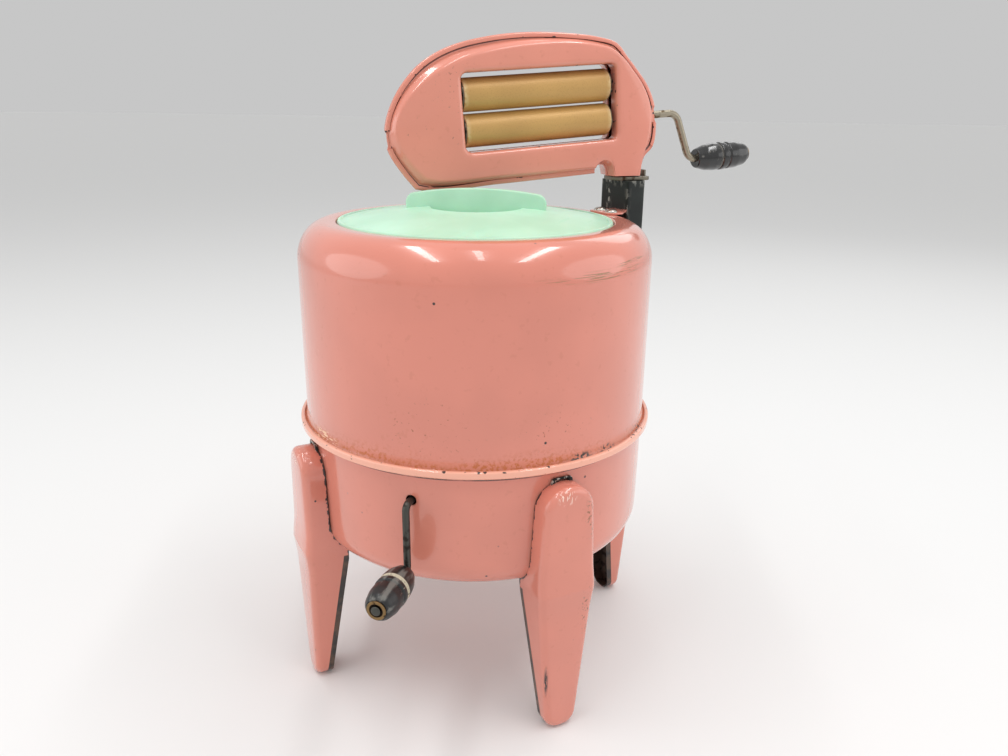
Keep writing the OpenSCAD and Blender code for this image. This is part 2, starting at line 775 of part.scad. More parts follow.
module agitator() {
    skirt_z = agitator_z;
    neck_z = skirt_z + 24;
    color(mint)
        difference() {
            union() {
                rotate_extrude()
                    polygon([
                        [0, skirt_z], [agitator_r, skirt_z], [agitator_r, skirt_z + 2.4],
                        [agitator_r * 0.62, skirt_z + 7], [agitator_r * 0.4, skirt_z + 14],
                        [column_r + 3, neck_z], [column_r, agitator_top_z - 4],
                        [column_r - 2, agitator_top_z], [0, agitator_top_z]
                    ]);
                for (i = [0:vanes - 1])
                    rotate([0, 0, i * 360 / vanes + 30])
                        rotate([90, 0, 0])
                            linear_extrude(vane_t, center = true)
                                polygon([
                                    [0, skirt_z + 1], [agitator_r - 1.5, skirt_z + 1],
                                    [agitator_r - 3, skirt_z + 12], [agitator_r * 0.55, skirt_z + 34],
                                    [column_r + 1, agitator_top_z - 12],
                                    [0, agitator_top_z - 12]
                                ]);
            }
            translate([0, 0, skirt_z - 1])
                cylinder(r = bushing_r + 4, h = bushing_top_z - skirt_z + 1 + seat_gap);
            translate([0, 0, skirt_z - 1]) cylinder(r = shaft_r, h = agitator_bore_z - skirt_z + 1);
        }
}

// ---------------------------------------------------------------- cranks and grips

// Places its children at the start of the tub crank's handle pin, with +X pointing outwards
module at_tub_crank() {
    translate([0, -tub_arm_r + tub_bend_r, crank_z]) rotate([0, 0, -90]) children();
}

module tub_crank() {
    shaft_l = tub_arm_r - tub_bend_r + inner_ear_y + bracket_t / 2 + 1;
    color(dark_steel)
        at_tub_crank()
            wire_crank(tub_wire_r, tub_bend_r, shaft_l, tub_throw, 90, tub_grip_l + pin_out);
}

// Profile of a turned wooden grip with two ring grooves, drawn with x along the radius and y along the axis
module grip_profile(bore_r, l) {
    r = grip_d / 2;
    polygon([
        [bore_r, 0], [r * 0.62, 0], [r * 0.7, l * 0.03], [r * 0.86, l * 0.17], [r * 0.95, l * 0.3],
        [r * 0.96, l * 0.4], [r * 0.9, l * 0.43], [r * 0.97, l * 0.46], [r, l * 0.5],
        [r * 0.97, l * 0.54], [r * 0.89, l * 0.57],
        [r * 0.93, l * 0.61], [r * 0.93, l * 0.74], [r * 0.88, l * 0.86], [r * 0.77, l * 0.95],
        [r * 0.66, l * 0.985], [r * 0.6, l], [bore_r, l]
    ]);
}

// A grip along +X from x = 0
module grip(wire_r, l) {
    rotate([0, 90, 0]) rotate_extrude() grip_profile(wire_r + running_gap, l);
}

module grip_washer(wire_r, l) {
    translate([l + 0.1, 0, 0])
        rotate([0, 90, 0])
            difference() {
                cylinder(r = grip_d * 0.28, h = washer_t);
                translate([0, 0, -1]) cylinder(r = wire_r + running_gap, h = 4);
            }
}

// Places its children on the tub crank's handle pin, at the rear of its grip
module at_tub_grip() {
    at_tub_crank() translate([crank_reach(tub_bend_r, tub_throw, 90) + grip_gap, 0, -tub_throw]) children();
}

module tub_grip() {
    color(black_paint) at_tub_grip() grip(tub_wire_r, tub_grip_l);
}

module tub_grip_washer() {
    color(brass) at_tub_grip() grip_washer(tub_wire_r, tub_grip_l);
}

// ---------------------------------------------------------------- wringer head

// Distance along the ray d from the window's middle to a circle (centre c, radius r) around it
function to_circle(d, c, r) = let (b = d * c) b + sqrt(b * b - c * c + r * r);

// Distance along the ray d to the line whose outward normal is n, at distance k
function to_line(d, n, k) = let (s = d * n) s > 0.001 ? k / s : far;

// Point of the head's outline at angle a around the window's middle, shrunk by inset
function head_point(a, inset) =
    let (
        d = [cos(a), sin(a)],
        dome_c = [dome_arc_u, dome_v - dome_arc_r],
        nose_c = [nose_u - window_u + nose_arc_out - nose_arc_r, nose_arc_v],
        tail_c = [-tail_u - window_u + tail_arc_r, tail_arc_v],
        corner_n = [cos(nose_corner_turn), sin(nose_corner_turn)],
        reach = min(
            to_circle(d, dome_c, dome_arc_r - inset),
            a < nose_arc_end ? to_circle(d, nose_c, nose_arc_r - inset) : far,
            a > tail_arc_start && a < 270 ? to_circle(d, tail_c, tail_arc_r - inset) : far,
            to_line(d, [0, -1], belly_v - inset),
            to_line(d, corner_n, nose_corner_k - inset),
            to_line(d, [1, 0], nose_u - window_u - inset)
        )
    )
    [window_u + d[0] * reach, d[1] * reach];

// Point of the window's outline at angle a, grown by g
function window_point(a, g) =
    let (
        d = [cos(a), sin(a)],
        reach = min(
            abs(d[0]) > 0.001 ? (window_w / 2 + g) / abs(d[0]) : far,
            abs(d[1]) > 0.001 ? (window_h / 2 + g) / abs(d[1]) : far
        )
    )
    [window_u + d[0] * reach, d[1] * reach];

// A closed sheet-metal ring around the window.
// Each step is [is_window, inset or growth, thickness position].
module head_ring(steps) {
    rings = len(steps);
    points = [for (s = steps) for (i = [0:head_rays - 1])
        let (
            a = 360 * i / head_rays,
            p = s[0] ? window_point(a, s[1]) : head_point(a, s[1])
        )
        [p[0], s[2], p[1]]];
    faces = [for (k = [0:rings - 1]) for (i = [0:head_rays - 1]) for (half = [0, 1])
        let (
            k2 = (k + 1) % rings,
            i2 = (i + 1) % head_rays
        )
        half == 0
            ? [k * head_rays + i, k2 * head_rays + i2, k2 * head_rays + i]
            : [k * head_rays + i, k * head_rays + i2, k2 * head_rays + i2]];
    polyhedron(points, faces);
}

// The half of the neck that a shell carries down to the pivot plate, between two thickness positions
module neck_half(w_flange, w_face) {
    fold = sheet * sign(w_face - w_flange);
    translate([neck_u, 0, -belly_v - neck_over])
        linear_extrude(belly_v + neck_over - neck_top_v)
            polygon([
                [-neck_half_w, w_flange], [-neck_half_w, w_face],
                [neck_half_w, w_face], [neck_half_w, w_flange],
                [neck_half_w - sheet, w_flange], [neck_half_w - sheet, w_face - fold],
                [-neck_half_w + sheet, w_face - fold], [-neck_half_w + sheet, w_flange]
            ]);
}

// Cuts the neck's end off level with the pivot plate, in the tub's frame
module below_neck() {
    translate([head_x, head_y, post_top_z + pivot_plate_t + 0.2])
        rotate([0, 0, head_turn])
            translate([neck_u - neck_half_w - 6, -head_half_t - 3, -20])
                cube([2 * neck_half_w + 8, 2 * head_half_t + 6, 20]);
}

// Opens the shells' belly where the neck leaves it
module neck_opening() {
    translate([neck_u - neck_half_w + sheet, -head_half_t + sheet, -belly_v - 6])
        cube([2 * (neck_half_w - sheet), 2 * (head_half_t - sheet), 8.5]);
}

// Notch of the given depth in the shells' joined edges, which the wringer crank leaves through
module tail_notch(depth) {
    translate([-tail_u - 5, -jamb_w - 0.4, -roller_v - tail_notch_h / 2])
        cube([5 + depth, flange_w + jamb_w + 5, tail_notch_h]);
}

module wringer_front_shell() {
    top = head_half_t;
    flange_top = flange_w + sheet;
    flange_in = sheet + face_gap;
    slope_in = hem_w + face_slope_w;
    color(enamel_pink)
        difference() {
            at_head() {
                difference() {
                    head_ring([
                        [false, flange_in, flange_w], [false, flange_in, flange_top],
                        [false, hem_w + 0.2, flange_top], [false, slope_in, top],
                        [true, ridge_w, top], [true, 0.6, top - 0.5], [true, 0, top - ridge_w],
                        [true, 0, jamb_w], [true, sheet, jamb_w],
                        [true, sheet, top - ridge_w], [true, sheet + 1.2, top - sheet],
                        [false, slope_in + 0.3, top - sheet], [false, hem_w + 0.9, flange_w]
                    ]);
                    neck_opening();
                    tail_notch(hem_w);
                }
                neck_half(flange_w + neck_step, top - neck_step);
            }
            below_neck();
        }
}

module wringer_rear_shell() {
    back = -head_half_t;
    flange_low = flange_w - sheet;
    hem_low = flange_w + sheet;
    slope_in = hem_w + back_slope_w;
    color(enamel_pink)
        difference() {
            at_head() {
                difference() {
                    head_ring([
                        [false, 0, hem_low + sheet], [false, hem_w, hem_low + sheet],
                        [false, hem_w, hem_low], [false, sheet, hem_low],
                        [false, sheet, flange_w], [false, hem_w + 0.8, flange_w],
                        [false, slope_in + 0.4, back + sheet], [true, sheet + 1.2, back + sheet],
                        [true, sheet, back + ridge_w], [true, sheet, -jamb_w],
                        [true, 0, -jamb_w], [true, 0, back + ridge_w],
                        [true, 0.6, back + 0.5], [true, ridge_w, back],
                        [false, slope_in, back], [false, hem_w, flange_low], [false, 0, flange_low]
                    ]);
                    neck_opening();
                    neck_hem_cut();
                    tail_notch(hem_w + 4.5);
                }
                neck_half(flange_w - neck_step, back);
            }
            below_neck();
        }
}

// Cuts the folded hem away where the neck leaves the belly
module neck_hem_cut() {
    translate([neck_u - neck_half_w - 1, flange_w, -belly_v - 6])
        cube([2 * neck_half_w + 2, 5, 10]);
}

module pivot_plate() {
    color(steel)
        translate([head_x, head_y, post_top_z + 0.1])
            rotate([0, 0, head_turn])
                difference() {
                    union() {
                        linear_extrude(pivot_plate_t) {
                            translate([5, 0]) circle(r = 9);
                            translate([-4, 0]) circle(r = 9);
                            translate([-4, -9]) square([9, 18]);
                        }
                        translate([-13, -4.5, 0]) cube([1.4, 9, pivot_plate_t + 5]);
                    }
                    translate([0, 0, -1]) cylinder(r = stud_r + running_gap, h = 6);
                }
}

// Distance from the swivel axis to the near face of the end plate on side s of the window
function plate_u(s) = window_u + s * (window_w / 2 + sheet + jamb_gap) - (s < 0 ? bearing_t : 0);

// An end plate that carries both rollers, on side s of the window
module bearing_plate(s) {
    u = plate_u(s);
    color(steel)
        at_head()
            difference() {
                translate([u, -plate_back_w, -window_h / 2])
                    cube([bearing_t, plate_back_w + head_half_t - sheet, window_h / 2 + plate_top_v]);
                translate([u - 1, 0, -roller_v]) bar_x(wringer_wire_r + running_gap, bearing_t + 2);
                translate([u - 1, 0, roller_v]) bar_x(axle_r + running_gap, bearing_t + 2);
            }
}

module bearing_plate_right() { bearing_plate(-1); }
module bearing_plate_left() { bearing_plate(1); }

module roller_sleeve(v) {
    color(tan_rubber)
        at_head()
            translate([roller_u - roller_l / 2, 0, v])
                difference() {
                    bar_x(roller_d / 2, roller_l);
                    translate([-1, 0, 0]) bar_x(roller_d / 2 - sleeve_t, roller_l + 2);
                }
}

module roller_caps(v, bore_r) {
    color(steel)
        at_head()
            for (s = [-1, 1])
                translate([roller_u, 0, v])
                    mirror([s < 0 ? 1 : 0, 0, 0])
                        translate([roller_l / 2, 0, 0])
                            difference() {
                                union() {
                                    translate([-cap_l, 0, 0]) bar_x(roller_d / 2 - sleeve_t, cap_l + 0.6);
                                    bar_x(roller_d / 2 - 0.6, 0.6);
                                    bar_x(bore_r + 1.8, hub_l);
                                }
                                translate([-cap_l - 1, 0, 0]) bar_x(bore_r, cap_l + 4);
                            }
}

module lower_roller() { roller_sleeve(-roller_v); }
module upper_roller() { roller_sleeve(roller_v); }
module lower_roller_caps() { roller_caps(-roller_v, wringer_wire_r); }
module upper_roller_caps() { roller_caps(roller_v, axle_r); }

module upper_axle() {
    axle_l = plate_u(1) - plate_u(-1) + bearing_t + 2 * pin_out;
    color(steel) at_head() translate([plate_u(-1) - pin_out, 0, roller_v]) bar_x(axle_r, axle_l);
}

// Places its children at the wringer crank's first bend, with +X pointing away from the rollers
module at_wringer_crank() {
    at_head() translate([wringer_bend_u, 0, -roller_v]) mirror([1, 0, 0]) children();
}

module wringer_crank() {
    shaft_l = plate_u(1) + bearing_t + pin_out - wringer_bend_u;
    pin_l = wringer_grip_l + pin_out;
    color(steel)
        at_wringer_crank()
            wire_crank(wringer_wire_r, wringer_bend_r, shaft_l, wringer_throw, wringer_bend, pin_l);
}

// Places its children on the wringer crank's handle pin, at the rear of its grip
module at_wringer_grip() {
    reach = crank_reach(wringer_bend_r, wringer_throw, wringer_bend);
    at_wringer_crank() translate([reach + grip_gap, 0, -wringer_throw]) children();
}

module wringer_grip() {
    color(black_paint) at_wringer_grip() grip(wringer_wire_r, wringer_grip_l);
}

module wringer_grip_washer() {
    color(brass) at_wringer_grip() grip_washer(wringer_wire_r, wringer_grip_l);
}

// ---------------------------------------------------------------- nodes

upper_drum();
lower_bowl();
tub_floor();
leg_front_left();
leg_front_right();
leg_rear_left();
leg_rear_right();
leg_straps();
post();
post_top_rivets();
post_wall_rivets();
swivel_stud();
gear_bracket();
bracket_rivets();
shaft_bushing();
lid();
agitator();
agitator_shaft();
crown_gear();
shaft_clip();
tub_crank();
crank_pinion();
tub_grip();
tub_grip_washer();
wringer_front_shell();
wringer_rear_shell();
pivot_plate();
bearing_plate_right();
bearing_plate_left();
lower_roller();
lower_roller_caps();
wringer_crank();
wringer_grip();
wringer_grip_washer();
upper_roller();
upper_roller_caps();
upper_axle();
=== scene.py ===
"""Toy wringer washing machine: the visual model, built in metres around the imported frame.

Sizes are millimetres in the classes below and become metres where a mesh is made.
"""

import json
import logging
import math
from collections.abc import Callable, Iterable, Sequence
from dataclasses import dataclass, field
from enum import Enum
from functools import partial

import bmesh
import bpy
from mathutils import Matrix, Vector

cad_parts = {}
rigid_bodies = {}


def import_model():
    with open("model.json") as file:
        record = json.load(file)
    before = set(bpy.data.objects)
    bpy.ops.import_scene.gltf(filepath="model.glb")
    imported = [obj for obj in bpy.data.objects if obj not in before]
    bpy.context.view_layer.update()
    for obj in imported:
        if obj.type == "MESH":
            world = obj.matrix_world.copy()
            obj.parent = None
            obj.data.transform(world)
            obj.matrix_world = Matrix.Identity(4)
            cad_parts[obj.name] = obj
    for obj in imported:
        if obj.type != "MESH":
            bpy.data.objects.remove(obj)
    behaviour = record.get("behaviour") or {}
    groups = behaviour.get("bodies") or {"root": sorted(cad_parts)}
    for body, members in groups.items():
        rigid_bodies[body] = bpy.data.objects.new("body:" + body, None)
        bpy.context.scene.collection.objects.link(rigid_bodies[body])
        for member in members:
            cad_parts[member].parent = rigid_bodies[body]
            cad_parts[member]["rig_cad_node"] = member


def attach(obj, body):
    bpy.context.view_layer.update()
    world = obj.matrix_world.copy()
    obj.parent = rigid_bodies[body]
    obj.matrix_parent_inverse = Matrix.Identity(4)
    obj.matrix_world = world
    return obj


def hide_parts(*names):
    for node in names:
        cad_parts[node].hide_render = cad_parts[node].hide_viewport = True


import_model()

LOG = logging.getLogger("washer")
MM = 0.001
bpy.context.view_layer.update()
# The wringer head's place on the post in millimetres, its turn and its tilt in degrees.
HEAD_AT = (61.579, 73.387, 296.4)
HEAD_TURN = 218.2
HEAD_TILT = 4.65

Piece = bpy.types.Object
Paint = bpy.types.Material
Socket = bpy.types.NodeSocket
Flat = tuple[float, float]
Corner = tuple[float, float, float]
Axes = tuple[float, float, float]
Colour = tuple[float, float, float]
Linear = tuple[float, float, float, float]
Ring = list[Vector]


class Body(Enum):
    """The moving bodies of the machine."""

    TUB = "tub"
    LID = "lid"
    AGITATOR = "agitator"
    TUB_CRANK = "tub_crank"
    TUB_GRIP = "tub_grip"
    HEAD = "wringer_head"
    LOWER_ROLLER = "lower_roller"
    UPPER_ROLLER = "upper_roller"
    WRINGER_GRIP = "wringer_grip"


class Slot(Enum):
    """The record's material slots."""

    PINK = "pink_enamel"
    BLACK = "black_enamel"
    MINT = "mint_plastic"
    STEEL = "plain_steel"
    DARK_STEEL = "dark_steel"
    BRASS = "brass"
    WOOD = "black_wood"
    RUBBER = "tan_rubber"


# ---------------------------------------------------------------- shaping


def deselect_all() -> None:
    """Leave edit mode and deselect every object."""
    if bpy.context.object and bpy.context.object.mode != "OBJECT":
        bpy.ops.object.mode_set(mode="OBJECT")
    bpy.ops.object.select_all(action="DESELECT")


def activate(obj: Piece) -> None:
    """Select one object alone and make it the active one.

    Args:
        obj: The object.
    """
    deselect_all()
    obj.select_set(True)
    bpy.context.view_layer.objects.active = obj


def apply_modifier(obj: Piece, kind: str, **settings: object) -> None:
    """Add one modifier to a piece and apply it.

    Args:
        obj: The piece.
        kind: The modifier's type, such as BEVEL.
        **settings: Its settings by name.
    """
    activate(obj)
    modifier = obj.modifiers.new(kind.lower(), kind)
    for key, value in settings.items():
        setattr(modifier, key, value)
    bpy.ops.object.modifier_apply(modifier=modifier.name)


def place(obj: Piece, matrix: Matrix) -> Piece:
    """Move a piece's mesh by a matrix and leave the object at the origin.

    Args:
        obj: The piece.
        matrix: Where it goes.

    Returns:
        The same piece.
    """
    activate(obj)
    obj.matrix_world = matrix
    bpy.ops.object.transform_apply(location=True, rotation=True, scale=True)
    return obj


def edit(obj: Piece, select: str = "SELECT") -> bmesh.types.BMesh:
    """Open a piece in edit mode.

    Args:
        obj: The piece.
        select: SELECT selects all of it, and DESELECT none.

    Returns:
        Its mesh.
    """
    activate(obj)
    bpy.ops.object.mode_set(mode="EDIT")
    bpy.ops.mesh.select_all(action=select)
    return bmesh.from_edit_mesh(obj.data)


def close_up(obj: Piece) -> None:
    """Merge a piece's doubles and turn its faces outwards.

    Args:
        obj: The piece.
    """
    edit(obj)
    bpy.ops.mesh.remove_doubles(threshold=0.02 * MM)
    bpy.ops.mesh.normals_make_consistent(inside=False)
    bpy.ops.object.mode_set(mode="OBJECT")


def smooth(obj: Piece, degrees: float = 38.0) -> None:
    """Shade a piece smooth, apart from edges sharper than an angle."""
    activate(obj)
    bpy.ops.object.shade_smooth_by_angle(angle=math.radians(degrees))


def rounded(corners: Sequence[Corner], closed: bool = False, steps: int = 5) -> list[Flat]:
    """Trace a path whose corners are rounded by arcs.

    Args:
        corners: The corners as (x, y, radius).
        closed: True if the last corner joins the first.
        steps: Segments in each arc.

    Returns:
        The path's points.
    """
    path: list[Flat] = []
    count = len(corners)
    for i, (x, y, radius) in enumerate(corners):
        here = Vector((x, y))
        if radius <= 0 or (not closed and i in (0, count - 1)):
            path.append((x, y))
            continue
        before = (Vector(corners[i - 1][:2]) - here).normalized()
        after = (Vector(corners[(i + 1) % count][:2]) - here).normalized()
        half = before.angle(after) / 2
        centre = here + (before + after).normalized() * (radius / math.sin(half))
        start = here + before * (radius / math.tan(half)) - centre
        end = here + after * (radius / math.tan(half)) - centre
        sweep = start.angle(end)
        for k in range(steps + 1):
            f = k / steps
            p = centre + (start * math.sin((1 - f) * sweep) + end * math.sin(f * sweep)) / math.sin(sweep)
            path.append((p.x, p.y))
    return path


def resampled(path: Sequence[Flat], step: float, closed: bool = True) -> list[Flat]:
    """Add points to a path's long stretches.

    Args:
        path: The points.
        step: The longest stretch that stays whole.
        closed: True if the last point joins the first.

    Returns:
        The longer list of points.
    """
    out: list[Flat] = []
    for i, a in enumerate(path):
        out.append(a)
        if not closed and i == len(path) - 1:
            break
        b = path[(i + 1) % len(path)]
        parts = max(1, math.ceil(math.dist(a, b) / step))
        out += [(a[0] + (b[0] - a[0]) * k / parts, a[1] + (b[1] - a[1]) * k / parts) for k in range(1, parts)]
    return out


def inward(path: Sequence[Flat], distance: float) -> list[Flat]:
    """Shrink a closed path that runs counter-clockwise.

    Args:
        path: The points.
        distance: How far each point moves inwards.

    Returns:
        The moved points.
    """
    out: list[Flat] = []
    for i, (x, y) in enumerate(path):
        ahead, behind = path[(i + 1) % len(path)], path[i - 1]
        along = Vector((ahead[0] - behind[0], ahead[1] - behind[1])).normalized()
        out.append((x - along.y * distance, y + along.x * distance))
    return out


def lathe(name: str, profile: Sequence[Flat], steps: int = 96, closed: bool = False) -> Piece:
    """Trace a profile point by point and spin it around Z.

    Args:
        name: The piece's name.
        profile: Points as (radius, height).
        steps: Segments around the axis.
        closed: True joins the profile's last point to its first.

    Returns:
        The new piece.
    """
    deselect_all()
    start = Vector((profile[0][0], 0.0, profile[0][1])) * MM
    bpy.ops.mesh.primitive_plane_add(size=MM, location=start)
    obj = bpy.context.object
    obj.name = obj.data.name = name
    bpy.ops.object.transform_apply(location=True, rotation=False, scale=False)
    edit(obj)
    bpy.ops.mesh.merge(type="CENTER")
    path = list(profile) + ([profile[0]] if closed else [])
    for a, b in zip(path, path[1:]):
        step = Vector((b[0] - a[0], 0.0, b[1] - a[1])) * MM
        bpy.ops.mesh.extrude_region_move(TRANSFORM_OT_translate={"value": step})
    bpy.ops.mesh.select_all(action="SELECT")
    bpy.ops.mesh.spin(steps=steps, angle=math.tau, center=(0, 0, 0), axis=(0, 0, 1))
    close_up(obj)
    return obj


def loft(name: str, rings: Sequence[Ring], capped: bool = False, joined: bool = False) -> Piece:
    """Extrude a ring of vertices through a row of rings.

    Args:
        name: The piece's name.
        rings: The rings in millimetres, each with as many points.
        capped: True closes both ends with a face.
        joined: True bridges the last ring to the first.

    Returns:
        The new piece.
    """
    deselect_all()
    count = len(rings[0])
    bpy.ops.mesh.primitive_circle_add(vertices=count, radius=MM, fill_type="NGON" if capped else "NOTHING")
    obj = bpy.context.object
    obj.name = obj.data.name = name
    mesh = edit(obj)
    spot = mesh.verts.layers.int.new("spot")
    mesh.verts.ensure_lookup_table()
    for i, vert in enumerate(mesh.verts):
        vert[spot] = i
        vert.co = rings[0][i] * MM
    bmesh.update_edit_mesh(obj.data)
    for ring in rings[1:]:
        bpy.ops.mesh.extrude_region_move(TRANSFORM_OT_translate={"value": (0, 0, 0)})
        mesh = bmesh.from_edit_mesh(obj.data)
        spot = mesh.verts.layers.int["spot"]
        for vert in mesh.verts:
            if vert.select:
                vert.co = ring[vert[spot]] * MM
        bmesh.update_edit_mesh(obj.data)
    if joined:
        bpy.ops.mesh.select_all(action="DESELECT")
        bpy.ops.mesh.select_mode(type="EDGE")
        mesh = bmesh.from_edit_mesh(obj.data)
        for edge in mesh.edges:
            edge.select_set(edge.is_boundary)
        bmesh.update_edit_mesh(obj.data)
        bpy.ops.mesh.bridge_edge_loops()
        bpy.ops.mesh.select_mode(type="VERT")
    bpy.ops.object.mode_set(mode="OBJECT")
    obj.data.attributes.remove(obj.data.attributes["spot"])
    close_up(obj)
    return obj


def bevel(obj: Piece, width: float, segments: int = 2, degrees: float = 40.0) -> None:
    """Round a piece's edges that are sharper than an angle."""
    angle = math.radians(degrees)
    apply_modifier(obj, "BEVEL", width=width * MM, segments=segments, limit_method="ANGLE", angle_limit=angle)


def upright(name: str, outline: Sequence[Flat], near: float, far: float) -> Piece:
    """Extrude an outline that stands in X and Z from one depth to another."""
    return loft(name, [[Vector((x, y, z)) for x, z in outline] for y in (near, far)], capped=True)


def slab(name: str, outline: Sequence[Flat], low: float, high: float, edge: float = 0.25) -> Piece:
    """Extrude a flat outline upwards and round its edges.

    Args:
        name: The piece's name.
        outline: Points as (x, y).
        low: Height of its underside.
        high: Height of its top.
        edge: Radius of its rounded edges.

    Returns:
        The new piece.
    """
    obj = loft(name, [[Vector((x, y, z)) for x, y in outline] for z in (low, high)], capped=True)
    bevel(obj, edge)
    return obj


def join(pieces: Sequence[Piece]) -> Piece:
    """Join pieces into the first of them.

    Args:
        pieces: The pieces.

    Returns:
        The first one, which holds all the meshes.
    """
    activate(pieces[0])
    for piece in pieces[1:]:
        piece.select_set(True)
    bpy.ops.object.join()
    return pieces[0]


def copied(obj: Piece, name: str, matrix: Matrix) -> Piece:
    """Copy a piece with a mesh of its own.

    Args:
        obj: The piece.
        name: The copy's name.
        matrix: Where the copy goes.

    Returns:
        The copy.
    """
    activate(obj)
    bpy.ops.object.duplicate(linked=False)
    copy = bpy.context.object
    copy.name = copy.data.name = name
    return place(copy, matrix)


def cut(obj: Piece, cutter: Piece, operation: str = "DIFFERENCE") -> None:
    """Cut one piece with another, or unite the two, and delete the second."""
    apply_modifier(obj, "BOOLEAN", object=cutter, operation=operation, solver="EXACT")
    bpy.data.objects.remove(cutter, do_unlink=True)


def mark(obj: Piece, name: str, value: Callable[[Vector], float]) -> None:
    """Store a number at each vertex, worked out from its place in millimetres, for the finishes to read."""
    layer = obj.data.attributes.new(name, "FLOAT", "POINT")
    layer.data.foreach_set("value", [value(v.co / MM) for v in obj.data.vertices])


def quarter(steps: int) -> list[float]:
    """Give the angles that divide a quarter turn."""
    return [math.pi / 2 * i / steps for i in range(steps + 1)]


def turn_z(degrees: float) -> Matrix:
    """Give a turn around the tub's axis."""
    return Matrix.Rotation(math.radians(degrees), 4, "Z")


def along_x() -> Matrix:
    """Give the turn that lays a lathed piece's axis along X."""
    return Matrix.Rotation(math.radians(90), 4, "Y")


# ---------------------------------------------------------------- finishes


def srgb(red: float, green: float, blue: float) -> Linear:
    """Turn a colour from 0..255 display values into linear light."""
    linear = [((c / 255 + 0.055) / 1.055) ** 2.4 if c > 10 else c / 255 / 12.92 for c in (red, green, blue)]
    return (linear[0], linear[1], linear[2], 1.0)


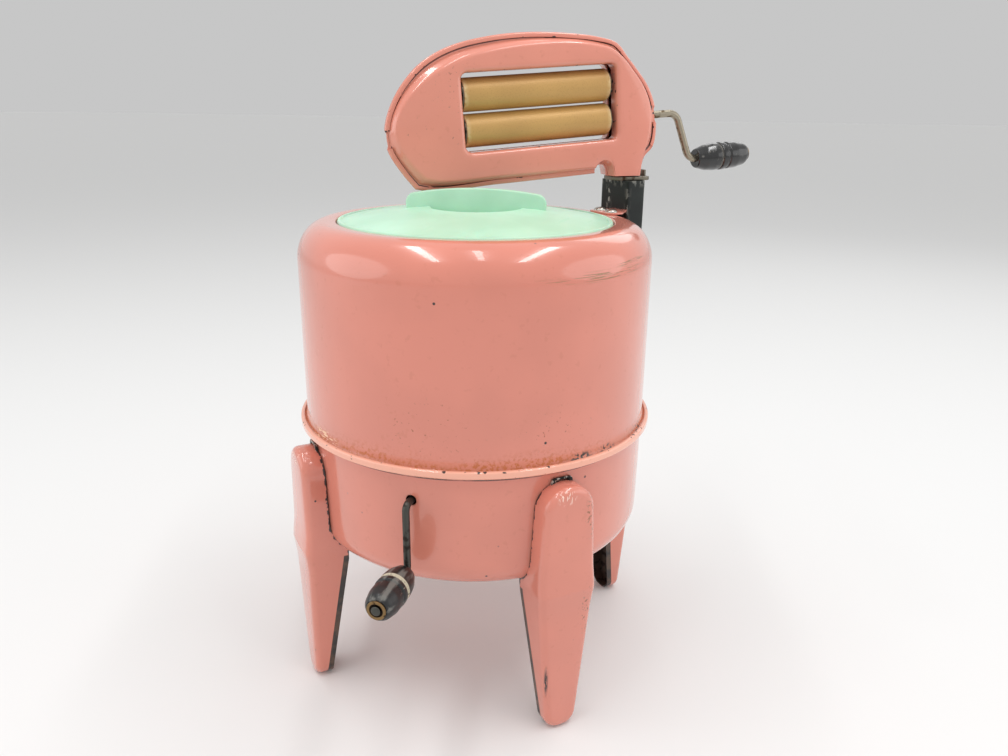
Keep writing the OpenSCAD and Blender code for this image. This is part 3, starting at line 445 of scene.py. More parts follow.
class Sketch:
    """A material's node tree and the few kinds of node that the finishes share."""

    def __init__(self, name: str) -> None:
        """Make an empty material with a shader and object coordinates.

        Args:
            name: The material's name.
        """
        self.material = bpy.data.materials.new(name)
        self.material.use_nodes = True
        self.tree = self.material.node_tree
        self.shader = self.tree.nodes["Principled BSDF"]
        self.where = self.tree.nodes.new("ShaderNodeTexCoord").outputs["Object"]

    def feed(self, socket: Socket, value: object) -> None:
        """Link a socket, or set its value.

        Args:
            socket: The input.
            value: Another node's output, a number or a colour.
        """
        if isinstance(value, Socket):
            self.tree.links.new(value, socket)
        else:
            socket.default_value = value

    def node(self, kind: str, inputs: dict[str | int, object], **settings: object) -> bpy.types.ShaderNode:
        """Add a node.

        Args:
            kind: Its type's name after ShaderNode.
            inputs: What its inputs are fed, by name or number.
            **settings: Its settings by name.

        Returns:
            The node.
        """
        node = self.tree.nodes.new(f"ShaderNode{kind}")
        for key, value in settings.items():
            setattr(node, key, value)
        for key, value in inputs.items():
            self.feed(node.inputs[key], value)
        return node

    def noise(self, scale: float, detail: float = 3.0, stretch: Axes = (1, 1, 1), shift: float = 0) -> Socket:
        """Give a noise pattern.

        Args:
            scale: Cells in a metre.
            detail: Octaves.
            stretch: Factors on the three axes before the noise is read.
            shift: A move of the pattern, to tell two patterns apart.

        Returns:
            The pattern, from 0 to 1.
        """
        moved = (shift, shift * 1.7, shift * 0.6)
        spot = self.node("Mapping", {"Vector": self.where, "Scale": stretch, "Location": moved})
        node = self.node("TexNoise", {"Vector": spot.outputs[0], "Scale": scale, "Detail": detail})
        return node.outputs["Fac"]

    def dots(self, cells: float, size: float) -> Socket:
        """Give sparse round dots, whose radius is a share of a cell, with so many cells in a metre."""
        node = self.node("TexVoronoi", {"Vector": self.where, "Scale": cells})
        return self.band(node.outputs["Distance"], size, size * 0.6)

    def band(self, value: Socket, low: float, high: float) -> Socket:
        """Map a value smoothly to a share.

        Args:
            value: The value.
            low: The value that gives 0, which may be the higher one.
            high: The value that gives 1.

        Returns:
            The share.
        """
        start, end = (0.0, 1.0) if low < high else (1.0, 0.0)
        inputs = {
            "Value": value, "From Min": min(low, high), "From Max": max(low, high),
            "To Min": start, "To Max": end,
        }
        return self.node("MapRange", inputs, interpolation_type="SMOOTHSTEP").outputs["Result"]

    def math(self, operation: str, first: object, second: object) -> Socket:
        """Combine two numbers and keep the outcome within 0 and 1."""
        return self.node("Math", {0: first, 1: second}, operation=operation, use_clamp=True).outputs[0]

    def times(self, first: object, second: object) -> Socket:
        """Multiply two numbers."""
        return self.math("MULTIPLY", first, second)

    def plus(self, first: object, second: object) -> Socket:
        """Add two numbers."""
        return self.math("ADD", first, second)

    def most(self, first: object, second: object) -> Socket:
        """Take the larger of two numbers."""
        return self.math("MAXIMUM", first, second)

    def mix(self, factor: object, first: object, second: object) -> Socket:
        """Mix two colours, each a socket or display values, by the second one's share."""
        under, over = (c if isinstance(c, Socket) else srgb(*c) for c in (first, second))
        return self.node("Mix", {"Factor": factor, 6: under, 7: over}, data_type="RGBA").outputs[2]

    def attribute(self, name: str) -> Socket:
        """Read a number that mark() stored, which is 0 on a piece that has none."""
        return self.node("Attribute", {}, attribute_name=name).outputs["Fac"]

    def height(self) -> Socket:
        """Read the height above the floor, in metres."""
        return self.node("SeparateXYZ", {0: self.where}).outputs["Z"]

    def reach(self, centre: Axes, stretch: Axes = (1, 1, 1)) -> Socket:
        """Give the distance from a place.

        Args:
            centre: The place in millimetres.
            stretch: Factors on the three axes of that distance.

        Returns:
            The distance in metres.
        """
        spot = [c * MM for c in centre]
        away = self.node("VectorMath", {0: self.where, 1: spot}, operation="SUBTRACT")
        scaled = self.node("VectorMath", {0: away.outputs[0], 1: stretch}, operation="MULTIPLY")
        return self.node("VectorMath", {0: scaled.outputs[0]}, operation="LENGTH").outputs["Value"]

    def bump(self, height: Socket, depth: float, under: Socket | None = None) -> Socket:
        """Make a bump from a pattern.

        Args:
            height: The pattern.
            depth: Its depth in millimetres.
            under: Another bump that this one is added to.

        Returns:
            The normal for the shader.
        """
        inputs = {"Height": height, "Strength": 1.0, "Distance": depth * MM}
        if under is not None:
            inputs["Normal"] = under
        return self.node("Bump", inputs).outputs["Normal"]

    def finish(self, **values: object) -> Paint:
        """Feed the shader.

        Args:
            **values: Its inputs, with _ for a space.

        Returns:
            The material.
        """
        for key, value in values.items():
            self.feed(self.shader.inputs[key.replace("_", " ")], value)
        return self.material


@dataclass(frozen=True)
class Scar:
    """A patch of worn or chipped enamel at one place."""

    centre: Axes
    radius: float
    stretch: Axes = (1, 1, 1)
    colour: Colour = (44, 32, 28)
    grain: float = 900.0
    cover: float = 0.42
    streak: Axes = (1, 1, 1)
    whole: float = 0.35
    soft: float = 0.035

    def patch(self, s: Sketch) -> Socket:
        """Find where the enamel is gone.

        Args:
            s: The enamel's sketch.

        Returns:
            1 where it is gone and 0 elsewhere.
        """
        inside = s.band(s.reach(self.centre, self.stretch), self.radius * MM, self.radius * self.whole * MM)
        grain = s.noise(self.grain, 5, self.streak, self.radius)
        return s.times(inside, s.band(grain, self.cover, self.cover - self.soft))


@dataclass(frozen=True)
class Enamel:
    """Glossy baked enamel with specks, rust and chips.

    The attribute "edge" says how worn a place is, and "bare" is 1 where the enamel is laid dark brown
    instead: painted shade in the head's hem crevice and seam, and a dark strip along the legs' lower back
    edges. Heights can be given for a pale band, which is a painted highlight, and for a dark line, which is a
    painted shadow.
    """

    name: str
    colour: Colour = (219, 134, 115)
    # The pale colour is a painted highlight, laid on a band between two heights.
    pale: Colour = (242, 174, 150)
    stain: Colour = (188, 112, 84)
    # The next colour is a painted shadow, laid as a dark line at one height.
    painted_shadow: Colour = (44, 26, 22)
    chip: Colour = (52, 38, 34)
    # The next two colours make the dark strip where "bare" is set: painted shade in the head's hem crevice
    # and seam, and a dark strip on the legs.
    dark_strip: Colour = (22, 17, 14)
    dark_strip_brown: Colour = (78, 54, 36)
    rust: Colour = (190, 102, 52)
    rust_low: float = 0.0
    rust_high: float = 0.0
    rust_foot: float = 5.5
    painted_highlight_low: float = 0.0
    painted_highlight_high: float = 0.0
    painted_shadow_z: float = 0.0
    edge_cover: float = 0.54
    roughness: float = 0.2
    scars: tuple[Scar, ...] = ()

    def coat(self, s: Sketch) -> Socket:
        """Lay the enamel with its cloudy tone, a pale band that is a painted highlight, stains and a dark
        line that is a painted shadow.

        Args:
            s: The sketch.

        Returns:
            The colour.
        """
        tone = s.band(s.noise(26, 2), 0.35, 0.68)
        colour = s.mix(tone, self.colour, [c * 0.972 for c in self.colour])
        # Painted highlight: the band between two heights is painted pale.
        if self.painted_highlight_high:
            above = s.band(s.height(), self.painted_highlight_low * MM, (self.painted_highlight_low + 0.5) * MM)
            below = s.band(s.height(), self.painted_highlight_high * MM, (self.painted_highlight_high - 0.4) * MM)
            colour = s.mix(s.times(above, below), colour, self.pale)
        stain = s.band(s.noise(300, 6, shift=0.3), 0.60, 0.74)
        colour = s.mix(s.times(stain, 0.2), colour, self.stain)
        # Painted shadow: a patchy dark line at one height, under the bowl's rolled hem.
        if self.painted_shadow_z:
            above = s.band(s.height(), (self.painted_shadow_z - 0.5) * MM, self.painted_shadow_z * MM)
            below = s.band(s.height(), (self.painted_shadow_z + 0.7) * MM, (self.painted_shadow_z + 0.5) * MM)
            patchy = s.band(s.noise(70, 4, shift=0.9), 0.72, 0.5)
            line = s.times(s.times(above, below), patchy)
            colour = s.mix(line, colour, self.painted_shadow)
        return colour

    def rusted(self, s: Sketch) -> Socket:
        """Spread rust upwards from a seam, densest at its foot.

        Args:
            s: The sketch.

        Returns:
            How rusty a place is.
        """
        near = s.band(s.height(), self.rust_high * MM, self.rust_low * MM)
        cloud = s.band(s.noise(46, 3, (1, 1, 1.4), 0.6), 0.34, 0.60)
        grit = s.band(s.noise(620, 8), 0.56, 0.36)
        rust = s.times(s.times(near, near), s.times(grit, cloud))
        foot = s.band(s.height(), (self.rust_low + self.rust_foot) * MM, self.rust_low * MM)
        return s.plus(s.times(rust, 0.95), s.times(foot, 0.5))

    def edge_chips(self, s: Sketch) -> Socket:
        """Chip the worn edges, the more the more worn they are.

        Args:
            s: The sketch.

        Returns:
            1 on a chip and 0 elsewhere.
        """
        worn = s.attribute("edge")
        hold = s.times(s.math("SUBTRACT", 1.0, worn), 0.22)
        grit = s.plus(s.noise(360, 6, shift=0.5), hold)
        broken = s.band(grit, self.edge_cover, self.edge_cover - 0.04)
        return s.times(broken, s.band(worn, 0.02, 0.12))

    def material(self) -> Paint:
        """Build the finish.

        Returns:
            The material.
        """
        s = Sketch(self.name)
        colour = self.coat(s)
        if self.rust_high:
            colour = s.mix(self.rusted(s), colour, self.rust)
        specks = s.times(s.dots(62, 0.05), s.band(s.noise(14, 1, shift=0.8), 0.42, 0.52))
        gone = specks
        for scar in self.scars:
            patch = scar.patch(s)
            colour = s.mix(patch, colour, scar.colour)
            gone = s.most(gone, s.times(patch, 0.7))
        chips = self.edge_chips(s)
        gone = s.most(gone, chips)
        colour = s.mix(s.most(specks, chips), colour, self.chip)
        # Where "bare" is set the enamel turns dark brown: painted shade in the head's hem crevice and seam,
        # and a dark strip along the legs' lower back edges.
        bare = s.band(s.attribute("bare"), 0.45, 0.55)
        dark_strip = s.mix(s.band(s.noise(150, 5), 0.38, 0.62), self.dark_strip, self.dark_strip_brown)
        colour = s.mix(bare, colour, dark_strip)
        peel = s.bump(s.noise(340, 2), 0.012)
        wave = s.bump(s.noise(34, 1, shift=0.2), 0.10, peel)
        normal = s.bump(gone, -0.06, wave)
        rough = s.plus(s.times(s.noise(90, 3), 0.10), self.roughness - 0.05)
        rough = s.plus(rough, s.times(s.most(gone, bare), 0.4))
        return s.finish(
            Base_Color=colour, Roughness=rough, Normal=normal, Coat_Weight=0.7, Coat_Roughness=0.04,
        )


@dataclass(frozen=True)
class Moulded:
    """Moulded plastic with fine scuffs, and a little grime where the attribute "hollow" says."""

    name: str
    colour: Colour = (190, 230, 204)
    shade: Colour = (178, 220, 192)
    grime: Colour = (120, 160, 138)
    speck: Colour = (104, 112, 96)
    roughness: float = 0.34

    def material(self) -> Paint:
        """Build the finish.

        Returns:
            The material.
        """
        s = Sketch(self.name)
        tone = s.band(s.noise(40, 3), 0.3, 0.7)
        colour = s.mix(tone, self.colour, self.shade)
        grime = s.times(s.attribute("hollow"), s.band(s.noise(130, 5), 0.35, 0.7))
        colour = s.mix(s.times(grime, 0.35), colour, self.grime)
        colour = s.mix(s.times(s.dots(75, 0.035), 0.6), colour, self.speck)
        scuffs = s.band(s.noise(160, 4, (1, 0.12, 1), 0.4), 0.62, 0.70)
        rough = s.plus(s.times(scuffs, 0.16), self.roughness)
        normal = s.bump(s.noise(620, 2), 0.010, s.bump(s.noise(50, 1), 0.06))
        return s.finish(
            Base_Color=colour, Roughness=rough, Normal=normal, Subsurface_Weight=0.12,
            Subsurface_Scale=0.002, IOR=1.49,
        )


@dataclass(frozen=True)
class Metal:
    """Bare metal with stains and fine scratches, dark where the attribute "hollow" is 1."""

    name: str
    colour: Colour = (168, 164, 154)
    stain: Colour = (112, 92, 70)
    cover: float = 0.56
    roughness: float = 0.34
    metallic: float = 1.0
    soil: Colour = (34, 27, 22)

    def material(self) -> Paint:
        """Build the finish.

        Returns:
            The material.
        """
        s = Sketch(self.name)
        spots = s.band(s.noise(230, 6), self.cover, self.cover + 0.12)
        colour = s.mix(spots, self.colour, self.stain)
        colour = s.mix(s.attribute("hollow"), colour, self.soil)
        streaks = s.times(s.noise(420, 3, (1, 1, 0.15), 0.2), 0.2)
        rough = s.plus(s.times(spots, 0.28), s.plus(streaks, self.roughness - 0.1))
        normal = s.bump(s.noise(900, 3), 0.012, s.bump(spots, 0.02))
        return s.finish(Base_Color=colour, Roughness=rough, Normal=normal, Metallic=self.metallic)


@dataclass(frozen=True)
class Chipped:
    """Black enamel on steel, chipped to bare metal where the attribute "edge" says."""

    name: str
    colour: Colour = (14, 20, 18)
    shade: Colour = (25, 33, 30)
    bare: Colour = (178, 178, 170)
    cover: float = 0.46
    roughness: float = 0.34

    def material(self) -> Paint:
        """Build the finish.

        Returns:
            The material.
        """
        s = Sketch(self.name)
        tone = s.band(s.noise(60, 4), 0.4, 0.7)
        colour = s.mix(tone, self.colour, self.shade)
        grit = s.band(s.noise(420, 5, (1, 1, 0.6), 0.6), self.cover, self.cover - 0.04)
        bare = s.most(s.times(s.attribute("edge"), grit), s.dots(120, 0.04))
        colour = s.mix(bare, colour, self.bare)
        rough = s.plus(s.times(s.noise(80, 3), 0.2), self.roughness - 0.06)
        normal = s.bump(bare, -0.05, s.bump(s.noise(260, 2), 0.02))
        metallic = s.times(bare, 0.8)
        return s.finish(
            Base_Color=colour, Roughness=rough, Normal=normal, Metallic=metallic, Specular_IOR_Level=0.3,
        )


@dataclass(frozen=True)
class Turned:
    """Turned wood in worn black lacquer, with bare wood where the attribute "groove" says. Its worn patches
    are painted light grey, partly as a painted sheen.
    """

    name: str
    axis: Axes = (1, 1, 1)
    colour: Colour = (22, 22, 23)
    # The worn colour below is partly a painted sheen.
    dull: Colour = (112, 110, 105)
    fleck: Colour = (150, 142, 128)
    wood: Colour = (196, 186, 164)
    worn: float = 0.6
    roughness: float = 0.2
    coat: float = 0.5

    def material(self) -> Paint:
        """Build the finish.

        Returns:
            The material.
        """
        s = Sketch(self.name)
        worn = s.band(s.noise(330, 6, self.axis, 0.3), self.worn, self.worn + 0.16)
        # Worn patches are painted light grey: worn lacquer, and partly a painted sheen.
        colour = s.mix(s.times(worn, 0.85), self.colour, self.dull)
        flecks = s.band(s.noise(900, 4, self.axis, 0.9), 0.68, 0.74)
        colour = s.mix(s.times(flecks, 0.8), colour, self.fleck)
        ring = s.times(s.attribute("groove"), s.band(s.noise(500, 4), 0.30, 0.48))
        colour = s.mix(ring, colour, self.wood)
        ring_rough = s.plus(s.times(ring, 0.4), self.roughness)
        rough = s.plus(s.times(worn, 0.22), ring_rough)
        normal = s.bump(worn, -0.05, s.bump(s.noise(420, 3, self.axis), 0.05))
        return s.finish(
            Base_Color=colour, Roughness=rough, Normal=normal, Coat_Weight=self.coat, Coat_Roughness=0.12,
        )


@dataclass(frozen=True)
class Rubber:
    """Tan rubber with a fine grain, paler where the attribute "rim" says."""

    name: str
    colour: Colour = (197, 155, 92)
    shade: Colour = (184, 143, 84)
    grain: Colour = (164, 126, 72)
    worn: Colour = (214, 190, 144)

    def material(self) -> Paint:
        """Build the finish.

        Returns:
            The material.
        """
        s = Sketch(self.name)
        tone = s.band(s.noise(22, 3), 0.3, 0.7)
        colour = s.mix(tone, self.colour, self.shade)
        grain = s.noise(1500, 3)
        colour = s.mix(s.times(s.band(grain, 0.5, 0.75), 0.45), colour, self.grain)
        rim = s.times(s.attribute("rim"), s.band(s.noise(600, 4), 0.25, 0.6))
        colour = s.mix(rim, colour, self.worn)
        normal = s.bump(grain, 0.02, s.bump(s.noise(60, 1), 0.08))
        rough = s.plus(s.times(grain, 0.2), 0.32)
        return s.finish(Base_Color=colour, Roughness=rough, Normal=normal, Metallic=0.2)


def dress(
    obj: Piece, body: Body, finishes: Iterable[Paint], stands_for: Sequence[str] = ()
) -> None:
    """Give a piece its finish and body, and hide the nodes that it stands for.

    Args:
        obj: The piece.
        body: The body that it rides on.
        finishes: Its materials, the main one first.
        stands_for: The nodes that it replaces.
    """
    if obj.data.materials:
        for i, finish in enumerate(finishes):
            obj.data.materials[i] = finish
    else:
        for finish in finishes:
            obj.data.materials.append(finish)
    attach(obj, body.value)
    if stands_for:
        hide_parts(*stands_for)
    LOG.info("%s: %d faces on %s", obj.name, len(obj.data.polygons), body.value)


def dress_node(node: str, finish: Paint) -> None:
    """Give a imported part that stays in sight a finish.

    Args:
        node: The part's name.
        finish: Its material.
    """
    obj = next(o for o in bpy.context.scene.objects if o.get("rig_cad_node") == node)
    if obj.material_slots:
        for holder in obj.material_slots:
            holder.material = finish
    else:
        obj.data.materials.append(finish)
    LOG.info("%s keeps its packed shape", node)


# ---------------------------------------------------------------- tub


@dataclass
class Tub:
    """The enamelled drum and the bowl that is rolled around its foot."""

    wall_r: float = 89.0
    sheet: float = 0.8
    top_z: float = 238.3
    shoulder_w: float = 14.5
    shoulder_h: float = 17.9
    opening_r: float = 69.6
    ledge_z: float = 235.7
    ledge_w: float = 4.0
    foot_r: float = 91.2
    foot_z: float = 138.7
    flare_z: float = 143.6
    hem_r: float = 92.4
    hem_z: float = 137.0
    hem_top_z: float = 140.2
    hem_in_r: float = 90.5
    bowl_z: float = 77.0
    bowl_corner_r: float = 14.0
    bowl_low_r: float = 88.25
    bowl_high_r: float = 88.85
    crank_z: float = 123.0
    crank_hole_r: float = 2.6
    around: int = 168

    def shoulder(self, inset: float) -> list[Flat]:
        """Trace the drum's elliptical shoulder from the wall to the flat top.

        Args:
            inset: How far the trace lies inside the drum's skin.

        Returns:
            The points.
        """
        middle_r, low = self.wall_r - self.shoulder_w, self.top_z - self.shoulder_h
        wide, tall = self.shoulder_w - inset, self.shoulder_h - inset
        return [(middle_r + wide * math.cos(t), low + tall * math.sin(t)) for t in quarter(18)]

    def drum(self) -> Piece:
        """Spin the drum with its flared foot, shoulder and the ledge for the lid.

        Returns:
            The drum.
        """
        t = self.sheet
        foot = rounded([
            (self.foot_r, self.foot_z, 0), (self.foot_r, self.foot_z + t, 0.2),
            (self.wall_r + 0.85, self.foot_z + t, 1.0), (self.wall_r, self.flare_z, 5),
            (self.wall_r, self.flare_z + 6, 0),
        ])
        ledge_r = self.opening_r - self.ledge_w
        rim = rounded([
            (self.opening_r + 4, self.top_z, 0), (self.opening_r, self.top_z, 0.9),
            (self.opening_r, self.ledge_z, 0.5), (ledge_r, self.ledge_z, 0.3),
            (ledge_r, self.ledge_z - t, 0.3), (self.opening_r + t, self.ledge_z - t, 0.5),
            (self.opening_r + t, self.top_z - t, 0.5), (self.opening_r + 4, self.top_z - t, 0),
        ], steps=4)
        under = self.shoulder(t)[::-1]
        inner = [(self.wall_r - t, self.flare_z), (self.wall_r - t, self.foot_z)]
        path = foot + self.shoulder(0) + rim + under + inner
        return lathe("drum_shell", resampled(path, 9), self.around, closed=True)

    def bowl(self) -> Piece:
        """Spin the bowl with its rolled hem, and cut the crank's hole.

        Returns:
            The bowl.
        """
        t = self.sheet
        outside = rounded([
            (0, self.bowl_z, 0), (self.bowl_low_r, self.bowl_z, self.bowl_corner_r),
            (self.bowl_high_r, self.hem_z - 0.9, 0.9), (self.hem_r - 0.9, self.hem_z - 0.6, 0.4),
            (self.hem_r, self.hem_z + 0.1, 0.5), (self.hem_r, self.hem_top_z, 0.9),
            (self.hem_in_r, self.hem_top_z, 0.35), (self.hem_in_r, self.hem_top_z - t, 0.1),
            (self.hem_r - t, self.hem_top_z - t, 0.1), (self.hem_r - t, self.hem_z + t, 0.1),
            (self.bowl_high_r - t, self.hem_z + t, 0.1),
            (self.bowl_low_r - t, self.bowl_z + t, self.bowl_corner_r - t), (0, self.bowl_z + t, 0),
        ], steps=8)
        obj = lathe("bowl_shell", resampled(outside, 8, closed=False), self.around)
        bpy.ops.mesh.primitive_cylinder_add(
            vertices=32, radius=self.crank_hole_r * MM, depth=8 * MM,
            location=(0, -self.bowl_high_r * MM, self.crank_z * MM), rotation=(math.pi / 2, 0, 0),
        )
        cut(obj, bpy.context.object)
        return obj

    def hem_wear(self, at: Vector) -> float:
        """Give how worn the rolled hem is, mostly on its upper crease.

        Args:
            at: A place on the bowl.

        Returns:
            The wear, from 0 to 1.
        """
        radius = math.hypot(at.x, at.y)
        if radius < self.hem_in_r - 0.2 or at.z < self.hem_z - 0.4:
            return 0.0
        return 0.62 if at.z > self.hem_top_z - 0.6 else 0.4

    @staticmethod
    def scars() -> tuple[Scar, ...]:
        """List the drum's scratches, chips and rust stains.

        Returns:
            The patches, in the order that they are laid.
        """
        scratch = partial(Scar, colour=(158, 112, 74), streak=(1, 1, 34))
        chip = partial(Scar, colour=(48, 34, 28))
        scrape = partial(Scar, radius=12, stretch=(0.8, 0.8, 2.6), streak=(1, 1, 5))
        rust = partial(Scar, colour=(172, 98, 70), grain=760)
        return (
            scratch((75, -45, 223.0), 36, (0.8, 0.8, 12), grain=70, cover=0.45),
            scratch((84, -28, 226.5), 16, (0.8, 0.8, 9), grain=90, cover=0.43),
            chip((70.5, -56, 140.6), 7.5, (0.8, 0.8, 3.0), grain=620, cover=0.50),
            chip((80.5, -42, 140.6), 6.5, (0.8, 0.8, 2.6), grain=700, cover=0.50),
            chip((90.0, -10, 141.2), 9, (0.8, 0.8, 2.4), grain=700, cover=0.45),
            scrape((-52, -74, 141), colour=(242, 196, 158), grain=240, cover=0.47),
            scrape((-84, -36, 141.5), colour=(150, 92, 58), grain=300, cover=0.46),
            rust((10, -88, 158), 34, (1, 1, 1.6), cover=0.335),
            rust((-52, -72, 168), 26, (1, 1, 1.2), cover=0.33),
            rust((62, -64, 156), 26, (1, 1, 1.8), colour=(164, 92, 64), cover=0.34),
        )

    def build(self) -> None:
        """Make and dress the drum and the bowl."""
        drum = self.drum()
        smooth(drum)
        enamel = Enamel("drum_enamel", rust_low=139.6, rust_high=153.0, scars=self.scars())
        dress(drum, Body.TUB, [enamel.material()], ["upper_drum"])
        bowl = self.bowl()
        smooth(bowl)
        mark(bowl, "edge", self.hem_wear)
        hole_rust = Scar((0, -88.8, self.crank_z), radius=3.8, colour=(120, 74, 50), grain=700, cover=0.5)
        # The bowl's rolled hem gets a painted highlight band, and a painted shadow line just below it.
        hem = Enamel(
            "bowl_enamel", painted_highlight_low=136.4, painted_highlight_high=141.0, painted_shadow_z=134.9, edge_cover=0.46, scars=(hole_rust,)
        )
        dress(bowl, Body.TUB, [hem.material()], ["lower_bowl"])


# ---------------------------------------------------------------- legs


@dataclass
class Legs:
    """Four pressed legs, open at the back, and the straps that hold them to the bowl.

    A leg is modelled in front of the machine, with x across it and the axis at 0.
    """

    turns: dict[str, float] = field(default_factory=lambda: {
        "front_left": -45.0, "front_right": 45.0, "rear_right": 135.0, "rear_left": -135.0,
    })
    top_z: float = 131.0
    arch_half: float = 12.5
    knee_z: float = 78.0
    knee_half: float = 15.2
    knee_r: float = 26.0
    foot_half: float = 8.1
    foot_r: float = 7.6
    face_r: float = 100.5
    face_slope: float = 1.9
    top_slope: float = 0.004
    crown: float = 0.7
    edge_r: float = 3.4
    flare_r: float = 79.0
    flare_z: float = 72.0
    foot_back_r: float = 88.9
    foot_back_z: float = 5.0
    clearance: float = 0.25
    sheet: float = 0.8
    dark_strip_w: float = 2.9
    wear_w: float = 1.2
    knee_ridge: float = 1.1
    knee_reach: float = 11.0
    knee_sink: float = 0.4
    strap_half_w: float = 5.7
    strap_z: Flat = (96.0, 132.8)
    strap_gap: float = 0.15
    strap_w: float = 1.2
    slot_half_w: float = 3.2
    slot_z: Flat = (130.4, 131.7)
    bowl: Tub = field(default_factory=Tub)

    def outline(self) -> list[Flat]:
        """Trace a leg's front view counter-clockwise, with x across and z up.

        Returns:
            The points.
        """
        arch = self.arch_half - 0.1
        path = rounded([
            (-self.foot_half, 0, self.foot_r), (self.foot_half, 0, self.foot_r),
            (self.knee_half, self.knee_z, self.knee_r), (self.arch_half, self.top_z, arch),
            (-self.arch_half, self.top_z, arch), (-self.knee_half, self.knee_z, self.knee_r),
        ], closed=True, steps=9)
        return resampled(path, 4.5)

    def face(self, x: float, z: float) -> float:
        """Give the distance of a leg's front face from the axis.

        Args:
            x: The place across the leg.
            z: The place's height.

        Returns:
            The distance.
        """
        above = z - self.knee_z
        slope = self.top_slope * above if above >= 0 else self.face_slope * (1 - z / self.knee_z)
        ridge = self.knee_ridge * (min(1.0, abs(above) / self.knee_reach) - self.knee_sink)
        return self.face_r - slope - ridge - self.crown * (x / self.knee_half) ** 2

    def back(self, x: float, z: float) -> float:
        """Give the distance of a leg's back edge from the axis, which follows the bowl.

        Args:
            x: The place across the leg.
            z: The place's height.

        Returns:
            The distance.
        """
        b = self.bowl
        flare = self.flare_r
        if z < self.flare_z:
            share = (self.flare_z - z) / (self.flare_z - self.foot_back_z)
            flare += (self.foot_back_r - self.flare_r) * min(1.0, share)
        centre_z = b.bowl_z + b.bowl_corner_r
        if z < b.bowl_z:
            return flare
        skin = b.bowl_high_r + self.clearance
        if z < centre_z:
            fall = math.sqrt(max(0.0, b.bowl_corner_r**2 - (centre_z - z) ** 2))
            skin = b.bowl_low_r + self.clearance - b.bowl_corner_r + fall
        return max(flare, math.sqrt(skin**2 - x * x))

    def rings(self) -> list[Ring]:
        """Give the rings from a leg's back edge over its sides to the spine of its face.

        Returns:
            The rings.
        """
        path = self.outline()
        rings: list[Ring] = []
        for forward in (0.0, self.wear_w, self.dark_strip_w - 0.2, self.dark_strip_w + 0.2, 5.0):
            rings.append([Vector((x, -self.back(x, z) - forward, z)) for x, z in path])
        for turn in quarter(6):
            inset = self.edge_r * (1 - math.cos(turn))
            drop = self.edge_r * (1 - math.sin(turn))
            moved = inward(path, inset)
            rings.append([Vector((x, -self.face(x, z) + drop, z)) for x, z in moved])
        inner = inward(path, self.edge_r)
        for share in (0.55, 0.0):
            ring = []
            for x, z in inner:
                low, high = self.foot_half, self.top_z - self.arch_half
                centre = min(max(z, low), high)
                px, pz = x * share, centre + (z - centre) * share
                ring.append(Vector((px, -self.face(px, pz), pz)))
            rings.append(ring)
        return rings

    def leg(self) -> Piece:
        """Loft one leg and give it the sheet's thickness.

        Returns:
            The leg.
        """
        obj = loft("leg_pressing", self.rings())
        mark(obj, "edge", self.wear)
        mark(obj, "bare", self.bare)
        for _ in range(2):
            obj.data.materials.append(None)
        apply_modifier(obj, "SOLIDIFY", thickness=self.sheet * MM, offset=-1.0, material_offset=1)
        return obj

    def wear(self, at: Vector) -> float:
        """Give how worn the enamel is at a place on a leg."""
        behind = -at.y - self.back(at.x, at.z)
        return min(1.0, max(0.0, 1 - behind / self.wear_w)) if at.z > self.flare_z - 6 else 0.0

    def bare(self, at: Vector) -> float:
        """Give 1 on the strip along the lower part of a leg's back edge, which is laid dark brown."""
        behind = -at.y - self.back(at.x, at.z)
        return 1.0 if behind < self.dark_strip_w and at.z < self.flare_z + 2 else 0.0

    def strap(self) -> Piece:
        """Make one strap, a rounded strip with a slot in the tab above the leg.

        Returns:
            The strap.
        """
        half, (low, high) = self.strap_half_w, self.strap_z
        path = rounded([(-half, low, 1), (half, low, 1), (half, high, 2.2), (-half, high, 2.2)], closed=True)
        near = -(self.bowl.bowl_high_r + self.strap_gap)
        far = near - self.strap_w
        obj = upright("leg_strap", path, near, far)
        half, (low, high), r = self.slot_half_w, self.slot_z, 0.5
        slot = rounded([(-half, low, r), (half, low, r), (half, high, r), (-half, high, r)], closed=True)
        cut(obj, upright("slot", slot, near + 2, far - 2))
        bevel(obj, 0.25)
        return obj

    def build(self) -> None:
        """Model one leg and one strap, and set four of each around the bowl."""
        scratch = partial(Scar, stretch=(1, 1, 1.3), grain=620)
        scuffs = (
            Scar((62.0, -75.4, 33), 6.4, (4.6, 4.6, 0.42), (30, 25, 23), 1300, 0.60, streak=(1, 1, 0.12)),
            Scar((78.2, -62.0, 66), 9, (1.4, 1.4, 0.42), (132, 84, 56), 700, 0.40),
            Scar((78.0, -62.5, 116), 7, (1.5, 1.5, 0.42), (150, 96, 62), 700, 0.42),
            scratch((68.5, -72.5, 127), 6, colour=(252, 216, 200), streak=(2.2, 2.2, 0.4)),
            scratch((-70.0, -70.0, 127), 8, colour=(250, 206, 184), streak=(1, 1, 2)),
        )
        enamel = Enamel("leg_enamel", edge_cover=0.6, scars=scuffs).material()
        bare = Metal("leg_inside", (66, 52, 44), (40, 30, 26), 0.5, roughness=0.6, metallic=0.3).material()
        model = self.leg()
        black = Chipped("strap_enamel", cover=0.5).material()
        strap = self.strap()
        mark(strap, "edge", lambda at: 1.0 if at.z > self.top_z - 2 else 0.3)
        straps = []
        for corner, turn in self.turns.items():
            leg = copied(model, f"leg_{corner}_pressing", turn_z(turn))
            smooth(leg)
            dress(leg, Body.TUB, [enamel, bare], [f"leg_{corner}"])
            straps.append(copied(strap, f"strap_{corner}", turn_z(turn)))
        for spare in (model, strap):
            bpy.data.objects.remove(spare, do_unlink=True)
        tabs = join(straps)
        tabs.name = tabs.data.name = "leg_strap_set"
        smooth(tabs)
        dress(tabs, Body.TUB, [black], ["leg_straps"])


# ---------------------------------------------------------------- lid


